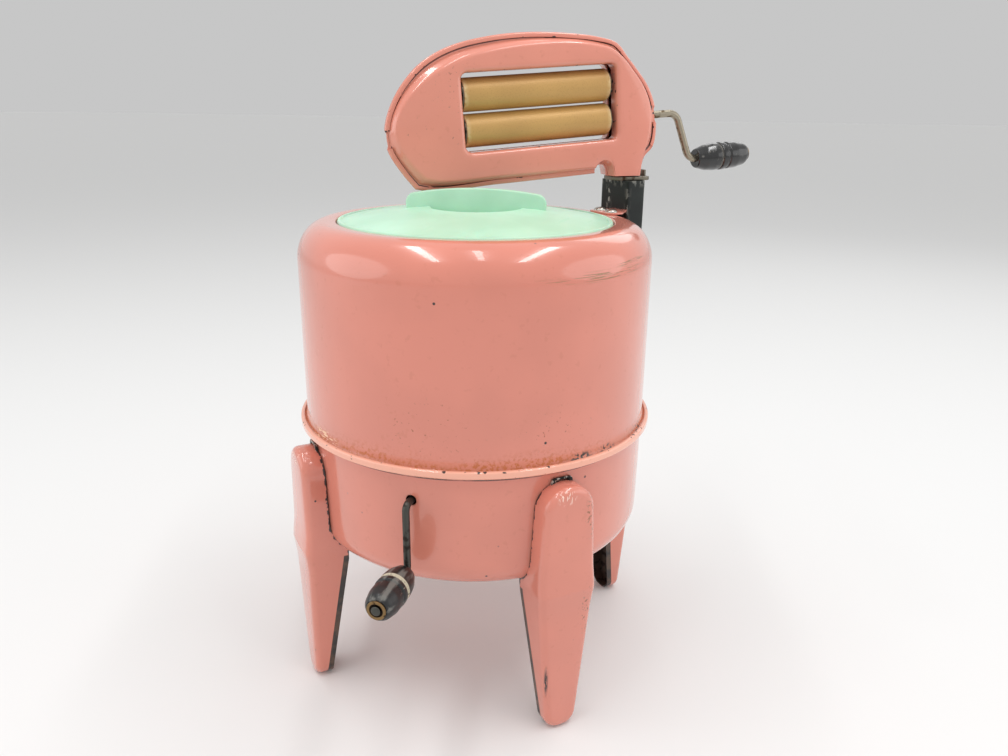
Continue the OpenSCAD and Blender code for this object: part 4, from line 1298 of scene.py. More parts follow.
@dataclass
class Lid:
    """The moulded lid with its finger scoops and grip fin."""

    radius: float = 69.0
    rim_z: float = 238.1
    dome_r: float = 67.2
    dome_h: float = 7.0
    wall: float = 2.0
    seat_z: float = 235.8
    skirt_r: float = 65.0
    skirt_w: float = 1.4
    skirt_z: float = 232.2
    scoop_r: float = 22.5
    scoop_z: float = 239.1
    fin_half_w: float = 35.5
    fin_half_t: float = 1.6
    fin_top_z: float = 253.5
    fin_drop: float = 3.2
    fin_corner_r: float = 5.0
    fin_turn: float = 13.0

    def dome(self, radius: float) -> float:
        """Give the dome's height at a distance from the axis."""
        return self.rim_z + self.dome_h * (1 - (radius / self.dome_r) ** 2)

    def shell(self) -> Piece:
        """Spin the dome with its scoops, rim bead and skirt.

        Returns:
            The lid without its fin.
        """
        steps = 14
        first, wide = self.scoop_r + 1.6, self.dome_r - 0.6 - self.scoop_r - 1.6
        outs = [first + wide * i / steps for i in range(steps + 1)]
        well = rounded([
            (0, self.scoop_z, 0), (self.scoop_r, self.scoop_z, 2.2),
            (self.scoop_r + 0.2, self.dome(self.scoop_r), 1.0), (outs[0], self.dome(outs[0]), 0),
        ])
        skirt_in_r = self.skirt_r - self.skirt_w
        rim = rounded([
            (self.dome_r - 0.4, self.rim_z + 0.1, 0), (self.dome_r + 0.1, self.rim_z + 0.75, 0.35),
            (self.radius - 0.5, self.rim_z + 0.65, 0.5), (self.radius, self.rim_z - 0.4, 0.4),
            (self.radius, self.seat_z, 0.4), (self.skirt_r, self.seat_z, 0.2),
            (self.skirt_r, self.skirt_z, 0.4), (skirt_in_r, self.skirt_z, 0.4),
            (skirt_in_r, self.seat_z + 0.6, 0),
        ])
        well_r = self.scoop_r + self.wall
        under = [(r, self.dome(r) - self.wall) for r in (*reversed(outs[2:-2]), well_r)]
        floor = [(well_r, self.scoop_z - self.wall), (0, self.scoop_z - self.wall)]
        path = well + [(r, self.dome(r)) for r in outs[1:]] + rim + under + floor
        return lathe("lid_moulding", path, 128)

    def fin(self) -> Piece:
        """Extrude the grip fin with rounded corners and edges.

        Returns:
            The fin.
        """
        end_z = self.fin_top_z - self.fin_drop
        low = self.scoop_z - 0.6
        side = self.dome(self.fin_half_w) - 1
        root, half, corner_r = self.scoop_r + 0.4, self.fin_half_w, self.fin_corner_r
        crown = [(x, self.fin_top_z - self.fin_drop * (x / half) ** 2, 0) for x in range(25, -26, -5)]
        path = rounded([
            (-root, low, 0), (root, low, 0), (root, side, 0), (half, side, 0), (half, end_z, corner_r),
            *crown, (-half, end_z, corner_r), (-half, side, 0), (-root, side, 0),
        ], closed=True, steps=7)
        obj = upright("fin", path, self.fin_half_t, -self.fin_half_t)
        bevel(obj, 0.9, segments=4, degrees=60)
        return obj

    def hollow(self, at: Vector) -> float:
        """Give how much grime gathers at a place on the lid.

        Args:
            at: The place.

        Returns:
            The grime, from 0 to 1.
        """
        radius = math.hypot(at.x, at.y)
        rim = max(0.0, 1 - abs(radius - self.dome_r + 0.3) / 1.5)
        scoop = 1.0 if radius < self.scoop_r + 0.3 and at.z < self.scoop_z + 2 else 0.0
        return max(rim, scoop)

    def build(self) -> None:
        """Make and dress the lid."""
        obj = self.shell()
        cut(obj, self.fin(), "UNION")
        place(obj, turn_z(self.fin_turn))
        mark(obj, "hollow", self.hollow)
        smooth(obj, 42)
        dress(obj, Body.LID, [Moulded("lid_plastic").material()], ["lid"])


# ---------------------------------------------------------------- post


@dataclass
class Post:
    """The folded steel post with its tab, two domed rivets and the swivel's plate."""

    turn: float = 140.0
    half_w: float = 12.0
    in_r: float = 89.3
    out_r: float = 102.3
    wall: float = 1.0
    lap_x: float = 4.4
    foot_z: float = 146.0
    top_z: float = 254.4
    drum_top_z: float = 238.3
    tab_r: float = 75.9
    tab_turns: tuple[float, float] = (4.2, 13.0)
    tab_margin: float = 4.5
    rivet_r: float = 3.4
    rivet_h: float = 1.7
    cavity: float = 12.0
    plate_x: Flat = (-13.0, 9.5)
    plate_half_w: float = 9.0
    plate_t: float = 2.0
    ear_w: float = 1.4
    ear_half_w: float = 2.6
    ear_top: float = 5.2

    def rivet_places(self) -> list[Flat]:
        """Give the places of the tab's two rivets in the post's frame."""
        turns = [math.radians(t) for t in self.tab_turns]
        return [(-self.tab_r * math.sin(t), -self.tab_r * math.cos(t)) for t in turns]

    def channel(self) -> Piece:
        """Loft the post's folded channel with its lapped seam and hollow it from below.

        Returns:
            The post.
        """
        back = self.in_r + self.wall
        plan = rounded([
            (-self.half_w, -self.in_r, 1.2), (-self.half_w, -self.out_r, 1.8),
            (self.half_w, -self.out_r, 1.8), (self.half_w, -back, 1.2), (self.lap_x, -back, 0),
            (self.lap_x, -self.in_r, 0.3),
        ], closed=True, steps=4)
        plan = resampled(plan, 2.0)
        count = 28
        heights = [self.foot_z + (self.top_z - self.foot_z) * i / count for i in range(count + 1)]
        obj = loft("post_channel", [[Vector((x, y, z)) for x, y in plan] for z in heights], capped=True)
        mesh = edit(obj, "DESELECT")
        for face in mesh.faces:
            face.select_set(face.normal.z < -0.9)
        bmesh.update_edit_mesh(obj.data)
        bpy.ops.mesh.inset(thickness=self.wall * MM, depth=0)
        bpy.ops.mesh.extrude_region_move(TRANSFORM_OT_translate={"value": (0, 0, self.cavity * MM)})
        bpy.ops.object.mode_set(mode="OBJECT")
        return obj

    def tab(self) -> Piece:
        """Make the tab that lies on the drum's flat top.

        Returns:
            The tab.
        """
        (ax, ay), (bx, by) = self.rivet_places()
        m = self.tab_margin
        path = rounded([
            (ax + m, -self.in_r - 0.5, 0), (ax + m, ay + m, 3.0), (bx - m, by + m, 3.5), (bx - m, by - m, 4),
            (-self.half_w, -self.in_r - 0.5, 0),
        ], closed=True)
        return slab("post_tab", resampled(path, 2.5), self.drum_top_z, self.drum_top_z + self.wall, 0.3)

    def wear(self, at: Vector) -> float:
        """Give how chipped the post is along its edges, its lap and its top.

        Args:
            at: A place in the post's own frame.

        Returns:
            The wear, from 0 to 1.
        """
        beside = abs(abs(at.x) - self.half_w)
        before = min(abs(-at.y - self.out_r), abs(-at.y - self.in_r))
        lap = abs(at.x - self.lap_x) if at.y > -self.in_r - 2 else self.half_w
        near_edge = max(0.5 - math.hypot(beside, before) / 3.0, min(1.0, 1.4 - lap / 1.7), 0.0)
        near_top = max(0.0, 1 - (self.top_z - at.z) / 1.5)
        return max(near_edge, 0.4 * near_top)

    def rivets(self) -> Piece:
        """Spin one domed rivet and copy it to both places.

        Returns:
            Both rivets as one piece.
        """
        crown = [(self.rivet_r * math.sin(t), self.rivet_h * math.cos(t)) for t in quarter(8)]
        model = lathe("rivet", crown + [(self.rivet_r - 0.2, 0.0), (0.0, 0.0)], 32)
        heads = []
        for i, (x, y) in enumerate(self.rivet_places()):
            at = Matrix.Translation(Vector((x, y, self.drum_top_z + self.wall)) * MM)
            heads.append(copied(model, f"post_rivet_{i}", turn_z(self.turn) @ at))
        bpy.data.objects.remove(model, do_unlink=True)
        return join(heads)

    def plate(self) -> Piece:
        """Make the pivot plate with its turned-up ear, in the head's turn.

        Returns:
            The plate.
        """
        low = self.top_z + 0.1
        (start, end), half = self.plate_x, self.plate_half_w
        corners = [(start, -half, 4), (end, -half, 6), (end, half, 6), (start, half, 4)]
        base = slab("pivot_steel", rounded(corners, closed=True, steps=6), low, low + self.plate_t, 0.35)
        end, half = start + self.ear_w, self.ear_half_w
        corners = [(start, -half, 0.3), (end, -half, 0.3), (end, half, 0.3), (start, half, 0.3)]
        ear = slab("ear", rounded(corners, closed=True, steps=3), low + 0.5, low + self.ear_top, 0.3)
        return join([base, ear])

    def build(self) -> None:
        """Make and dress the post, its rivets and the plate."""
        post = self.channel()
        mark(post, "edge", self.wear)
        place(post, turn_z(self.turn))
        smooth(post, 30)
        dress(post, Body.TUB, [Chipped("post_enamel", cover=0.5).material()], ["post"])
        tab = place(self.tab(), turn_z(self.turn))
        smooth(tab, 30)
        dress(tab, Body.TUB, [Enamel("tab_enamel").material()])
        rivets = self.rivets()
        rivets.name = rivets.data.name = "post_rivet_heads"
        smooth(rivets)
        steel = Metal("rivet_steel", (190, 188, 180), (120, 104, 84), 0.6, roughness=0.3).material()
        dress(rivets, Body.TUB, [steel], ["post_top_rivets"])
        axis = Vector((0, -(self.in_r + self.out_r) / 2, 0)) * MM
        plate = self.plate()
        place(plate, Matrix.Translation(turn_z(self.turn) @ axis) @ turn_z(HEAD_TURN))
        smooth(plate)
        worn = Metal("plate_steel", (122, 116, 104), (84, 66, 50), 0.5, roughness=0.42).material()
        dress(plate, Body.HEAD, [worn], ["pivot_plate"])


# ---------------------------------------------------------------- wringer head


def head_matrix() -> Matrix:
    """Give the head's frame: x runs to the nose, y to the viewer, z up."""
    at = Matrix.Translation(Vector(HEAD_AT) * MM)
    return at @ turn_z(HEAD_TURN) @ Matrix.Rotation(math.radians(HEAD_TILT), 4, "Y")


@dataclass(frozen=True)
class Key:
    """One key of the head's outline, with the matching places of its ridge and of the window.

    The curve runs straight up to a sharp key.
    """

    edge: Flat
    ridge: Flat
    window: Flat
    sharp: bool = False


def head_keys() -> list[Key]:
    """List the head's keys clockwise from the neck's foot.

    Returns:
        The keys, in millimetres in the head's frame.
    """
    foot = [
        Key((16.2, -38.1), (13.4, -38.4), (16, -19), True),
        Key((-5.0, -39.8), (-2.2, -39.6), (11, -19), True),
    ]
    tail = [
        Key((-7.6, -30.2), (-4.6, -28.2), (11, -15.5)), Key((-12.8, -25.4), (-7.6, -20.8), (11, -12)),
        Key((-15.1, -15.0), (-9.2, -12.4), (11, -7)), Key((-14.3, -4.0), (-8.6, -3.1), (11, -2)),
        Key((-10.2, 6.5), (-5.0, 6.2), (11, 5)), Key((-3.4, 15.6), (1.8, 15.4), (11, 12)),
    ]
    dome = [
        Key((2.0, 22.0), (7.2, 21.4), (11, 17)), Key((8.2, 29.0), (13.4, 25.6), (14, 19)),
        Key((18.4, 32.3), (21.6, 27.9), (21, 19)), Key((32.8, 34.6), (34, 29.9), (34, 19)),
        Key((57.9, 36.35), (58, 30.4), (58, 19)), Key((79.6, 35.4), (77.5, 28.8), (77, 19)),
        Key((100.9, 31.5), (97, 25.0), (91, 19)), Key((115.5, 24.8), (109.4, 19.8), (96.6, 16)),
    ]
    nose = [
        Key((126.2, 15.2), (120.8, 12.4), (96.6, 9)), Key((133.4, 4.4), (128.4, 3.8), (96.6, 3)),
        Key((136.6, -5.0), (132.0, -4.8), (96.6, -3)), Key((136.2, -14.2), (131.0, -12.4), (96.6, -8)),
        Key((130.0, -26.3), (125.4, -22.6), (96.6, -13)),
        Key((124.0, -34.6), (119.4, -29.6), (96.6, -17), True),
    ]
    belly = [
        Key((117.6, -36.1), (112.6, -31.4), (92, -19)), Key((79.4, -36.4), (79, -31.9), (77, -19)),
        Key((45.0, -36.4), (45, -32.3), (45, -19)), Key((23.4, -36.3), (24.6, -32.6), (26, -19), True),
    ]
    notch = [
        Key((22.6, -33.2), (22.8, -30.6), (23, -19)), Key((20.0, -31.8), (19.4, -29.4), (20, -19)),
        Key((17.2, -33.2), (15.2, -31.2), (17, -19)),
    ]
    return foot + tail + dome + nose + belly + notch


@dataclass
class Head:
    """The two pressed shells of the wringer head, joined by a folded hem."""

    half_t: float = 9.5
    flange_w: float = 3.9
    sheet: float = 0.8
    hem_in: float = 2.5
    hem_low: float = 3.0
    hem_high: float = 5.5
    jamb_w: float = 2.3
    window_u: Flat = (11.0, 96.6)
    window_v: Flat = (-19.0, 19.0)
    corner_r: float = 3.2
    step: float = 2.0
    crank_v: float = -8.7
    tail_hole_r: float = 3.4
    # The hem's runs, each from one key to another. A fraction is part of the way to the next key.
    hem_runs: tuple[Flat, ...] = ((2.9, 4.12), (4.98, 18.0), (19.05, 20.9), (21.12, 25.0))
    gap_in: float = 1.0
    edge: Ring = field(default_factory=list)
    ridge: Ring = field(default_factory=list)
    hole: Ring = field(default_factory=list)
    hole_out: Ring = field(default_factory=list)
    starts: list[int] = field(default_factory=list)
    gaps: set[int] = field(default_factory=set)

    def __post_init__(self) -> None:
        """Sample the outline, the ridge and the window with matching points."""
        keys = head_keys()
        count = len(keys)
        sides, outs = self.window_path()
        for i, key in enumerate(keys):
            self.starts.append(len(self.edge))
            ahead = keys[(i + 1) % count]
            parts = max(2, round(math.dist(key.edge, ahead.edge) / self.step))
            for k in range(parts):
                f = k / parts
                self.edge.append(self.hermite(keys, i, f, "edge"))
                self.ridge.append(self.hermite(keys, i, f, "ridge"))
                goal = Vector(key.window).lerp(Vector(ahead.window), f)
                near = min(range(len(sides)), key=lambda j: (sides[j] - goal).length)
                self.hole.append(sides[near])
                self.hole_out.append(outs[near])
        for (_, end), (start, _) in zip(self.hem_runs, self.hem_runs[1:]):
            self.gaps.update(range(self.spot_at(end) + 1, self.spot_at(start)))

    def window_path(self) -> tuple[Ring, Ring]:
        """Sample the window's rounded outline.

        Returns:
            Its points and their outward directions.
        """
        (u0, u1), (v0, v1) = self.window_u, self.window_v
        r = self.corner_r
        path = rounded([(u0, v0, r), (u1, v0, r), (u1, v1, r), (u0, v1, r)], closed=True, steps=8)
        path = resampled(path, 0.25)
        grown = inward(path, -1.0)
        points = [Vector(p) for p in path]
        return points, [(Vector(g) - p).normalized() for g, p in zip(grown, points)]

    @staticmethod
    def hermite(keys: Sequence[Key], i: int, f: float, side: str) -> Vector:
        """Give a point between two keys on a smooth curve.

        Args:
            keys: All the keys.
            i: The first of the two.
            f: How far towards the second.
            side: Which of a key's places the curve runs through.

        Returns:
            The point.
        """
        count = len(keys)
        p = [Vector(getattr(keys[(i + d) % count], side)) for d in (-1, 0, 1, 2)]
        length = (p[2] - p[1]).length
        chord = (p[2] - p[1]) / length
        start = chord if keys[i].sharp else ((p[1] - p[0]).normalized() + chord).normalized()
        end = chord if keys[(i + 1) % count].sharp else ((p[3] - p[2]).normalized() + chord).normalized()
        a, b = f * f * (3 - 2 * f), f * (1 - f)
        return p[1] * (1 - a) + p[2] * a + start * length * b * (1 - f) - end * length * b * f

    def at_inset(self, inset: float, w: float) -> Ring:
        """Give the outline shrunk by an inset, and a little more in the hem's gaps.

        Args:
            inset: How far it shrinks.
            w: The ring's place across the head's thickness.

        Returns:
            The ring.
        """
        out = []
        for i, (e, r) in enumerate(zip(self.edge, self.ridge)):
            across = r - e
            reach = min(inset + (self.gap_in if i in self.gaps else 0), across.length * 0.45)
            p = e + across.normalized() * reach
            out.append(Vector((p.x, w, p.y)))
        return out

    def at_share(self, share: float, w: float) -> Ring:
        """Give the outline moved by a share of the way to the ridge."""
        return [Vector((p.x, w, p.y)) for p in (e.lerp(r, share) for e, r in zip(self.edge, self.ridge))]

    def on_face(self, share: float, grow: float, w: float) -> Ring:
        """Give a ring between the ridge and the window grown by some distance."""
        rings = zip(self.ridge, self.hole, self.hole_out)
        return [Vector((p.x, w, p.y)) for p in (r.lerp(h + o * grow, share) for r, h, o in rings)]

    def at_window(self, grow: float, w: float) -> Ring:
        """Give the window's outline grown by some distance."""
        return [Vector((p.x, w, p.y)) for p in (h + o * grow for h, o in zip(self.hole, self.hole_out))]

    def panel(self, side: int, share: float) -> list[Ring]:
        """Give the rings from a shell's flat face over the window's soft edge into its jambs.

        Args:
            side: 1 for the front shell and -1 for the rear one.
            share: How far the first ring lies from the ridge to the window.

        Returns:
            The rings.
        """
        flat = 2.6
        face = [self.on_face(s, flat, side * self.half_t) for s in (share, 0.9)]
        curl = ((flat, 0), (1.7, 0.12), (0.9, 0.5), (0.35, 1.2), (0.05, 2.1), (0, 3.2))
        jamb = [self.at_window(grow, side * (self.half_t - sunk)) for grow, sunk in curl]
        return face + jamb + [self.at_window(0, side * self.jamb_w)]

    def front(self) -> Piece:
        """Loft the front shell from its flange over the ridge to the window's jambs.

        Returns:
            The shell.
        """
        top, low = self.half_t, self.flange_w
        flange = [
            self.at_inset(0.9, low), self.at_inset(0.9, low + self.sheet),
            self.at_inset(2.6, low + self.sheet),
        ]
        shoulder = [
            self.at_share(0.50, low + 0.9), self.at_share(0.58, low + 1.5), self.at_share(0.82, top - 1.5),
            self.at_share(0.92, top - 0.55), self.at_share(1.04, top - 0.12), self.at_share(1.18, top),
        ]
        rings = flange + shoulder + self.panel(1, share=0.55)
        return self.pressed("wringer_front_pressing", rings)

    def rear(self) -> Piece:
        """Loft the rear shell from its flange to the window's jambs, and cut the crank's hole.

        Returns:
            The shell.
        """
        back, low = -self.half_t, self.hem_low
        flange = [
            self.at_inset(0.0, self.flange_w + 0.6), self.at_inset(0.0, low + 0.3), self.at_inset(0.4, low),
            self.at_inset(2.2, low),
        ]
        shoulder = [
            self.at_share(0.50, low - 0.6), self.at_share(0.62, 0.5), self.at_share(0.9, -4.5),
            self.at_share(1.08, back + 2.2), self.at_share(1.22, back + 0.8),
            self.at_share(1.38, back + 0.15), self.at_share(1.6, back),
        ]
        rings = flange + shoulder + self.panel(-1, share=0.6)
        obj = self.pressed("wringer_rear_pressing", rings)
        bpy.ops.mesh.primitive_cylinder_add(
            vertices=28, radius=self.tail_hole_r * MM, depth=22 * MM,
            location=Vector((-14, 0, self.crank_v)) * MM, rotation=(0, math.pi / 2, 0),
        )
        cut(obj, bpy.context.object)
        return obj

    def pressed(self, name: str, rings: Sequence[Ring]) -> Piece:
        """Loft a shell and give it the sheet's thickness on its inner side.

        Args:
            name: The piece's name.
            rings: The rings of its outer skin.

        Returns:
            The shell.
        """
        obj = loft(name, rings)
        self.face_out(obj)
        apply_modifier(obj, "SOLIDIFY", thickness=self.sheet * MM, offset=-1.0)
        return obj

    def face_out(self, obj: Piece) -> None:
        """Flip an open shell whose flat face looks into the head.

        Args:
            obj: The shell.
        """
        outward = sum(p.normal.y * p.center.y * p.area for p in obj.data.polygons)
        if outward < 0:
            edit(obj)
            bpy.ops.mesh.flip_normals()
            bpy.ops.object.mode_set(mode="OBJECT")

    def spot_at(self, key: float) -> int:
        """Find the sample that stands at a key, or part of the way to the next one.

        Args:
            key: The key's number, with that part as its fraction.

        Returns:
            The sample's number.
        """
        whole = int(key)
        end = self.starts[whole + 1] if whole + 1 < len(self.starts) else len(self.edge)
        return round(self.starts[whole] + (end - self.starts[whole]) * (key - whole))

    def hem(self) -> Piece:
        """Sweep the folded hem along the outline, in runs with gaps between them.

        Returns:
            The hem.
        """
        section = rounded([
            (0.0, self.hem_low, 0.9), (0.0, self.hem_high, 1.1), (self.hem_in, self.hem_high, 0.35),
            (self.hem_in, self.hem_high - 0.75, 0.2), (0.9, self.hem_high - 1.0, 0.2),
            (0.9, self.hem_low, 0.2),
        ], closed=True, steps=4)
        section = resampled(section, 0.45)
        runs = []
        for start, end in self.hem_runs:
            rings = []
            for i in range(self.spot_at(start), self.spot_at(end) + 1):
                out = (self.ridge[i] - self.edge[i]).normalized()
                places = [(self.edge[i] + out * inset, w) for inset, w in section]
                rings.append([Vector((p.x, w, p.y)) for p, w in places])
            runs.append(loft(f"hem_{len(runs)}", rings, capped=True))
        obj = join(runs)
        obj.name = obj.data.name = "wringer_hem"
        return obj

    def nearest(self, at: Vector) -> tuple[int, float]:
        """Find the outline's sample that is nearest to a place.

        Args:
            at: The place.

        Returns:
            The sample's number and how far away it is.
        """
        spot = Vector((at.x, at.z))
        near = min(range(len(self.edge)), key=lambda i: (self.edge[i] - spot).length_squared)
        return near, (self.edge[near] - spot).length

    def hem_wear(self, at: Vector) -> float:
        """Give how worn the hem is, mostly on its two creases.

        Args:
            at: A place on the hem.

        Returns:
            The wear, from 0 to 1.
        """
        _, inset = self.nearest(at)
        if at.y < self.hem_high - 0.5:
            return 0.5 if inset < 0.5 and at.y < self.hem_low + 0.8 else 0.0
        return 0.45 if inset > self.hem_in - 0.45 else 0.3 if inset < 0.8 else 0.0

    def painted_crevice_shade(self, at: Vector) -> float:
        """Give 1 on the hem's inner side, where the crevice is darkened with painted shade."""
        _, inset = self.nearest(at)
        return 1.0 if inset > self.hem_in - 0.25 and at.y < self.hem_high - 0.2 else 0.0

    def painted_seam_shade(self, at: Vector) -> float:
        """Find the seam between the front shell's flange and the hem, where a line of painted shade is laid.

        Args:
            at: A place on the front shell.

        Returns:
            1 in the seam and 0 elsewhere.
        """
        near, inset = self.nearest(at)
        beside = self.flange_w + 0.6 < at.y < self.flange_w + 1.0
        return 1.0 if beside and 2.0 < inset < 2.75 and near not in self.gaps else 0.0

    def wear(self, at: Vector) -> float:
        """Give how worn the enamel is near the window's jambs and the shells' edge.

        Args:
            at: A place on a shell.

        Returns:
            The wear, from 0 to 1.
        """
        (u0, u1), (v0, v1) = self.window_u, self.window_v
        du = max(u0 - at.x, at.x - u1, 0.0)
        dv = max(v0 - at.z, at.z - v1, 0.0)
        jamb = max(0.0, 1 - math.hypot(du, dv) / 1.0)
        flange = max(0.0, 1 - abs(at.y - self.flange_w - 0.4) / 0.9) if at.y > self.flange_w - 0.5 else 0.0
        return max(0.6 * jamb, 0.5 * flange)

    def build(self) -> None:
        """Make and dress the shells and their hem."""
        face_scars = (
            Scar((-9, 5, 300), 20, (1, 1, 1.2), (170, 104, 80), cover=0.36),
            Scar((22, 52, 268), 4, colour=(96, 62, 50)),
            Scar((-24, -4, 278), 26, (1, 1, 1.3), (150, 94, 70), 560, 0.31),
        )
        # The head's dark strip colours are painted shade, for the hem's crevice and seam.
        enamel = Enamel(
            "head_enamel", (226, 142, 122), dark_strip=(78, 38, 29), dark_strip_brown=(118, 62, 47), edge_cover=0.5,
            scars=face_scars,
        ).material()
        front, rear, hem = self.front(), self.rear(), self.hem()
        for obj in (front, rear):
            mark(obj, "edge", self.wear)
        mark(hem, "edge", self.hem_wear)
        # The "bare" attribute marks painted shade here: the hem's crevice and the seam on the front shell
        # beside it.
        mark(hem, "bare", self.painted_crevice_shade)
        mark(front, "bare", self.painted_seam_shade)
        nodes = {front.name: ["wringer_front_shell"], rear.name: ["wringer_rear_shell"], hem.name: []}
        for obj in (front, rear, hem):
            place(obj, head_matrix())
            smooth(obj, 34)
            dress(obj, Body.HEAD, [enamel], nodes[obj.name])


@dataclass
class Rollers:
    """The two rubber rollers in the head's window."""

    radius: float = 8.3
    wall: float = 1.8
    length: float = 81.4
    middle_u: float = 54.7
    axis_v: float = 8.7

    def sleeve(self) -> Piece:
        """Spin one sleeve with worn rims.

        Returns:
            The sleeve.
        """
        half, inner = self.length / 2, self.radius - self.wall
        path = rounded([
            (self.radius, -half, 0.6), (self.radius, half, 0.6), (inner, half, 0.4), (inner, -half, 0.4),
        ], closed=True, steps=4)
        obj = lathe("roller", resampled(path, 2.0), 72, closed=True)
        mark(obj, "rim", lambda at: max(0.0, 1 - (half - abs(at.z)) / 2.2))
        return place(obj, along_x())

    def build(self) -> None:
        """Make and dress both rollers."""
        model = self.sleeve()
        rubber = Rubber("roller_rubber").material()
        for name, body, v in (
            ("lower_roller", Body.LOWER_ROLLER, -self.axis_v),
            ("upper_roller", Body.UPPER_ROLLER, self.axis_v),
        ):
            at = Matrix.Translation(Vector((self.middle_u, 0, v)) * MM)
            obj = copied(model, f"{name}_sleeve", head_matrix() @ at)
            smooth(obj)
            dress(obj, body, [rubber], [name])
        bpy.data.objects.remove(model, do_unlink=True)


# ---------------------------------------------------------------- cranks and grips


@dataclass
class Crank:
    """A crank bent from round wire, with a shaft along X, an arm down and a handle pin along X."""

    name: str
    radius: float
    bend_r: float
    shaft: float
    throw: float
    turn: float
    pin: float
    sides: int = 24
    peened: float = 1.3

    def arm(self) -> float:
        """Give the straight length of wire between the two bends."""
        turn = math.radians(self.turn)
        return (self.throw - 2 * self.bend_r * (1 - math.cos(turn))) / math.sin(turn)

    def bent(self, angle: float) -> Vector:
        """Give how far the wire has come when it has bent by an angle."""
        return Vector((self.bend_r * math.sin(angle), 0, -self.bend_r * (1 - math.cos(angle))))

    def route(self) -> list[tuple[Vector, float]]:
        """Trace the wire's centre line.

        Returns:
            Its places, each with the angle that the wire is bent down by.
        """
        turn = math.radians(self.turn)
        steps = 10
        bends = [turn * i / steps for i in range(steps + 1)]
        route = [(Vector((-self.shaft, 0, 0)), 0.0), (Vector((-self.shaft * 0.5, 0, 0)), 0.0)]
        route += [(self.bent(a), a) for a in bends]
        knee = route[-1][0] + Vector((math.cos(turn), 0, -math.sin(turn))) * self.arm()
        end = knee + self.bent(turn)
        route += [(end - self.bent(a), a) for a in reversed(bends)]
        route.append((end + Vector((self.pin - self.radius * 0.5, 0, 0)), 0.0))
        return route

    def pin_start(self) -> Vector:
        """Give the place where the handle pin leaves its bend."""
        turn = math.radians(self.turn)
        return Vector((2 * self.bend_r * math.sin(turn) + self.arm() * math.cos(turn), 0, -self.throw))

    def ring(self, at: Vector, bend: float, share: float = 1.0) -> Ring:
        """Give a ring around the wire.

        Args:
            at: A place on its centre line.
            bend: The angle that the wire is bent down by there.
            share: The ring's radius as a share of the wire's.

        Returns:
            The ring.
        """
        up = Vector((math.sin(bend), 0, math.cos(bend)))
        side = Vector((0, 1, 0))
        turns = [math.tau * i / self.sides for i in range(self.sides)]
        return [at + (up * math.cos(t) + side * math.sin(t)) * self.radius * share for t in turns]

    def wire(self, matrix: Matrix) -> Piece:
        """Sweep the wire along its route, with a peened end.

        Args:
            matrix: The crank's frame.

        Returns:
            The piece.
        """
        route = self.route()
        rings = [self.ring(at, bend) for at, bend in route]
        tip = route[-1][0]
        rings.append(self.ring(tip + Vector((0.05, 0, 0)), 0, self.peened))
        for turn in quarter(5)[:-1]:
            out = 0.1 + (self.radius * 0.5 - 0.1) * math.sin(turn)
            rings.append(self.ring(tip + Vector((out, 0, 0)), 0, self.peened * math.cos(turn)))
        obj = loft(self.name, rings, capped=True)
        return place(obj, matrix)


@dataclass
class Grip:
    """A turned wooden grip with two grooves, and the brass washer at its end."""

    name: str
    length: float
    bore: float
    radius: float = 8.0
    ring_share: float = 1.0
    ring_half: float = 0.74
    ring_at: float = 0.4375
    washer_t: float = 0.8
    worn: float = 0.6
    grain: Axes = (1, 1, 1)
    roughness: float = 0.2
    coat: float = 0.5

    def profile(self) -> list[Flat]:
        """Trace the grip's turned profile from shares of its radius and length.

        Returns:
            Its points as (radius, distance along the grip's axis).
        """
        shape = (
            (0.60, 0, 0.1), (0.66, 0.012, 0.5), (0.88, 0.17, 9), (0.96, 0.33, 9), (0.96, 0.41, 0.4),
            (0.885, 0.425, 0.25), (0.885, 0.45, 0.25), (0.98, 0.468, 0.8), (0.98, 0.55, 0.8),
            (0.88, 0.57, 0.25), (0.88, 0.60, 0.25), (0.95, 0.615, 0.6), (0.94, 0.76, 9), (0.80, 0.95, 5),
            (0.63, 1.0, 0.6),
        )
        corners = [(self.radius * out, self.length * along, r) for out, along, r in shape]
        return [(self.bore, 0.0)] + rounded([*corners, (self.bore, self.length, 0.1)], steps=5)

    def groove(self, at: Vector) -> float:
        """Give how bare the wood is at a place on the grip, whose rear groove has lost its lacquer."""
        near = abs(at.z - self.length * self.ring_at)
        return self.ring_share * max(0.0, min(1.0, (self.ring_half - near) / 0.3))

    def washer(self) -> Piece:
        """Spin the washer, which has a raised rim around a dirty hollow.

        Returns:
            The washer.
        """
        out = self.radius * 0.56
        lip = out * 0.74
        low = 0.1
        high, floor = low + self.washer_t, 0.55
        disc = rounded([
            (self.bore, low, 0), (out, low, 0.15), (out, high, 0.3), (lip, high, 0.1),
            (lip - 0.3, floor, 0.1), (self.bore, floor, 0.1),
        ], closed=True)
        obj = lathe(f"{self.name}_end_washer", disc, 40, closed=True)
        mark(obj, "hollow", lambda at: 1.0 if math.hypot(at.x, at.y) < lip - 0.1 else 0.0)
        return obj

    def build(self, matrix: Matrix, body: Body, stands_for: Sequence[str]) -> None:
        """Make and dress the grip and its washer.

        Args:
            matrix: The frame at the grip's rear, with X along its axis.
            body: The body that the grip turns with.
            stands_for: The grip's node and the washer's node.
        """
        path = resampled(self.profile(), 0.7, closed=False)
        obj = lathe(f"{self.name}_wood", path, 56, closed=True)
        mark(obj, "groove", self.groove)
        place(obj, matrix @ along_x())
        smooth(obj, 30)
        lacquer = Turned(
            f"{self.name}_lacquer", self.grain, worn=self.worn, roughness=self.roughness, coat=self.coat
        ).material()
        dress(obj, body, [lacquer], stands_for[:1])
        washer = self.washer()
        place(washer, matrix @ Matrix.Translation((self.length * MM, 0, 0)) @ along_x())
        smooth(washer)
        brass = Metal(f"{self.name}_brass", (136, 110, 76), (76, 58, 40), 0.48, roughness=0.4).material()
        dress(washer, body, [brass], stands_for[1:])


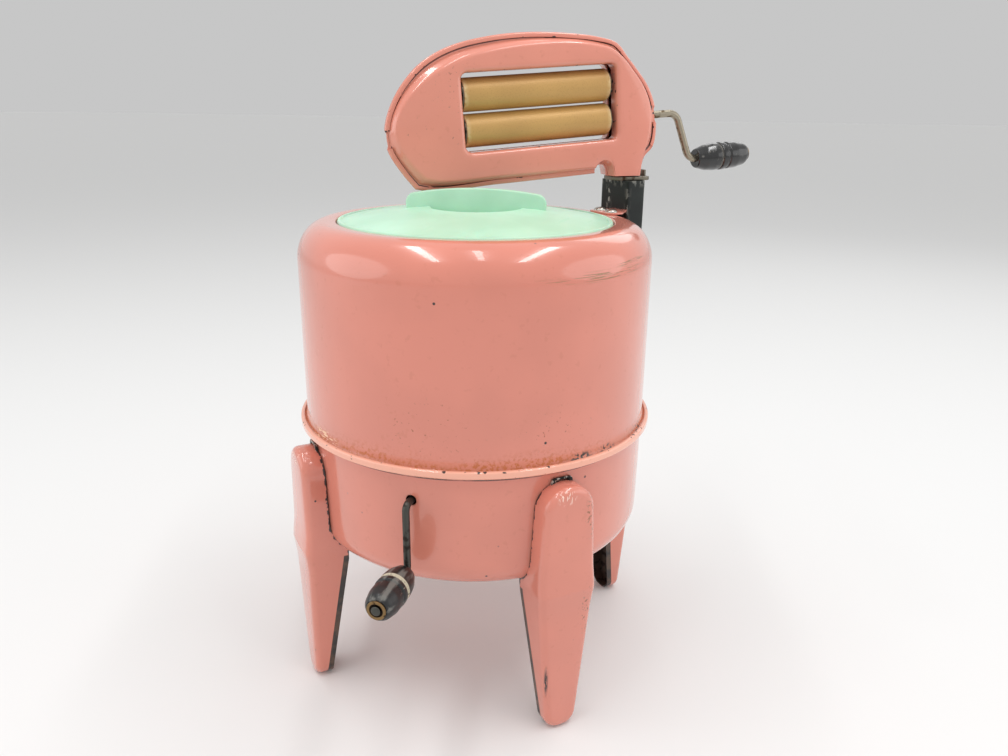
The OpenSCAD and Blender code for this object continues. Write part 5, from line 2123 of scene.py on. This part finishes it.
@dataclass
class Cranks:
    """Both cranks with their grips."""

    wringer: Crank = field(default_factory=lambda: Crank(
        "wringer_crank_wire", radius=2.0, bend_r=6.6, shaft=128.3, throw=26.0, turn=72.0, pin=34.7,
    ))
    tub: Crank = field(default_factory=lambda: Crank(
        "tub_crank_wire", radius=1.7, bend_r=3.0, shaft=77.4, throw=33.0, turn=90.0, pin=30.9,
    ))
    wringer_grip: Grip = field(default_factory=lambda: Grip("wringer_grip", 33.5, bore=2.1, ring_share=0.1))
    # The tub grip's wider grey patches are partly a painted sheen.
    tub_grip: Grip = field(default_factory=lambda: Grip(
        "tub_grip", 28.5, bore=1.8, ring_half=1.3, worn=0.47, grain=(1, 0.12, 1), roughness=0.4, coat=0.1,
    ))
    # How far each grip's rear stands beyond the bend that leads to its pin.
    wringer_gap: float = -0.6
    tub_gap: float = 0.6
    wringer_bend: Axes = (-25.8, 0.0, -8.7)
    tub_bend: Axes = (0.0, -91.8, 123.0)

    def build(self) -> None:
        """Make and dress the two cranks and the two grips."""
        wringer_at = head_matrix() @ Matrix.Translation(Vector(self.wringer_bend) * MM) @ turn_z(180)
        tub_at = Matrix.Translation(Vector(self.tub_bend) * MM) @ turn_z(-90)
        grey = Metal("crank_wire_steel", (156, 147, 130), (108, 90, 68), 0.54, roughness=0.36).material()
        dark = Metal("tub_wire_steel", (82, 82, 78), (62, 58, 54), 0.5, roughness=0.46).material()
        for crank, frame_at, body, slot, finish, node in (
            (self.wringer, wringer_at, Body.LOWER_ROLLER, Slot.STEEL, grey, "wringer_crank"),
            (self.tub, tub_at, Body.TUB_CRANK, Slot.DARK_STEEL, dark, "tub_crank"),
        ):
            wire = crank.wire(frame_at)
            smooth(wire)
            dress(wire, body, [finish], [node])
        for crank, grip, gap, frame_at, body in (
            (self.wringer, self.wringer_grip, self.wringer_gap, wringer_at, Body.WRINGER_GRIP),
            (self.tub, self.tub_grip, self.tub_gap, tub_at, Body.TUB_GRIP),
        ):
            at = frame_at @ Matrix.Translation((crank.pin_start() + Vector((gap, 0, 0))) * MM)
            grip.build(at, body, [grip.name, f"{grip.name}_washer"])


# ---------------------------------------------------------------- inner works


@dataclass
class Works:
    """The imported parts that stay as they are: the drive, the agitator and the small steel parts."""

    steel: tuple[str, ...] = (
        "tub_floor", "post_wall_rivets", "swivel_stud", "gear_bracket", "bracket_rivets", "agitator_shaft",
        "shaft_clip", "bearing_plate_right", "bearing_plate_left", "upper_axle",
    )
    caps: tuple[str, ...] = ("lower_roller_caps", "upper_roller_caps")
    brass: tuple[str, ...] = ("shaft_bushing", "crown_gear", "crank_pinion")

    def build(self) -> None:
        """Dress the parts."""
        dull = Metal("cap_steel", (116, 108, 96), (70, 60, 50), 0.5, roughness=0.5).material()
        plain = Metal("works_steel", (172, 168, 158), (118, 96, 72), roughness=0.38).material()
        brass = Metal("works_brass", (176, 144, 92), (104, 78, 48), roughness=0.36).material()
        for nodes, finish in ((self.steel, plain), (self.brass, brass), (self.caps, dull)):
            for node in nodes:
                dress_node(node, finish)
        dress_node("agitator", Moulded("agitator_plastic").material())


# ---------------------------------------------------------------- studio


@dataclass
class Studio:
    """The pale floor, the soft lamps and the camera."""

    camera_at: Axes = (0.1365, -0.3920, 0.29068)
    camera_right: Axes = (0.95459, 0.29772, 0.01132)
    camera_up: Axes = (-0.10373, 0.29649, 0.94939)
    camera_forward: Axes = (-0.27929, 0.90746, -0.31391)
    lens: float = 28.97
    sensor: float = 36.0
    middle: Axes = (0, 0, 0.17)
    floor_size: float = 60.0
    paint: Linear = (0.78, 0.78, 0.775, 1)
    sky: float = 0.72
    haze: float = 0.57

    def floor(self) -> None:
        """Lay the floor."""
        deselect_all()
        bpy.ops.mesh.primitive_plane_add(size=self.floor_size)
        plane = bpy.context.object
        plane.name = "studio_floor"
        material = bpy.data.materials.new("floor_paint")
        material.use_nodes = True
        shader = material.node_tree.nodes["Principled BSDF"]
        shader.inputs["Base Color"].default_value = self.paint
        shader.inputs["Roughness"].default_value = 0.75
        plane.data.materials.append(material)

    def world(self) -> None:
        """Light the scene evenly, with a white background for the camera and for reflections."""
        world = bpy.data.worlds.new("studio_world")
        bpy.context.scene.world = world
        world.use_nodes = True
        nodes, links = world.node_tree.nodes, world.node_tree.links
        background = nodes["Background"]
        background.inputs["Color"].default_value = (1, 1, 1, 1)
        path = nodes.new("ShaderNodeLightPath")
        mix = nodes.new("ShaderNodeMapRange")
        mix.inputs["To Min"].default_value = self.sky
        mix.inputs["To Max"].default_value = self.haze
        links.new(path.outputs["Is Camera Ray"], mix.inputs["Value"])
        links.new(mix.outputs["Result"], background.inputs["Strength"])

    def lamp(
        self, name: str, at: Sequence[float], size: Sequence[float], power: float, turn: float | None = None
    ) -> None:
        """Hang one soft lamp that points at the machine's middle, or straight down.

        Args:
            name: The lamp's name.
            at: Its place in metres.
            size: Its width and height in metres.
            power: Its power in watts.
            turn: How far a lamp that points down is turned, in degrees.
        """
        data = bpy.data.lights.new(name, "AREA")
        data.shape = "ELLIPSE" if turn is None else "RECTANGLE"
        data.size, data.size_y = size
        data.energy = power
        lamp = bpy.data.objects.new(name, data)
        bpy.context.scene.collection.objects.link(lamp)
        lamp.location = at
        if turn is None:
            lamp.rotation_mode = "QUATERNION"
            lamp.rotation_quaternion = (Vector(self.middle) - Vector(at)).to_track_quat("-Z", "Y")
        else:
            lamp.rotation_euler = (0, 0, math.radians(turn))

    def camera(self) -> None:
        """Set the camera."""
        data = bpy.data.cameras.new("camera")
        data.lens = self.lens
        data.sensor_fit = "HORIZONTAL"
        data.sensor_width = self.sensor
        data.clip_start, data.clip_end = 0.01, 50
        camera = bpy.data.objects.new("camera", data)
        bpy.context.scene.collection.objects.link(camera)
        right, up = Vector(self.camera_right), Vector(self.camera_up)
        turn = Matrix((right, up, -Vector(self.camera_forward))).transposed().to_4x4()
        camera.matrix_world = Matrix.Translation(self.camera_at) @ turn
        bpy.context.scene.camera = camera

    def build(self) -> None:
        """Set up the studio."""
        self.floor()
        self.world()
        self.lamp("strip_left", (-0.32, -0.33, 1.25), (1.1, 0.10), 4.2, -75)
        self.lamp("strip_middle", (0.135, -0.30, 1.25), (0.7, 0.06), 1.2, -66)
        self.lamp("strip_right", (0.545, -0.02, 1.25), (1.1, 0.10), 4.2, -68)
        self.lamp("fill_left", (-1.35, -0.75, 0.6), (1.5, 1.1), 4.6)
        self.lamp("fill_right", (1.5, 0.25, 0.6), (1.5, 1.1), 4.0)
        self.lamp("back", (0.3, 1.3, 1.0), (0.9, 0.6), 1.6)
        self.camera()
        bpy.context.scene.view_settings.view_transform = "Standard"


def main() -> None:
    """Build the machine piece by piece."""
    logging.basicConfig(level=logging.INFO, format="%(name)s: %(message)s")
    for part in (Studio(), Tub(), Legs(), Lid(), Post(), Head(), Rollers(), Cranks(), Works()):
        LOG.info("building %s", type(part).__name__)
        part.build()
    deselect_all()


if __name__ == "__main__":
    main()
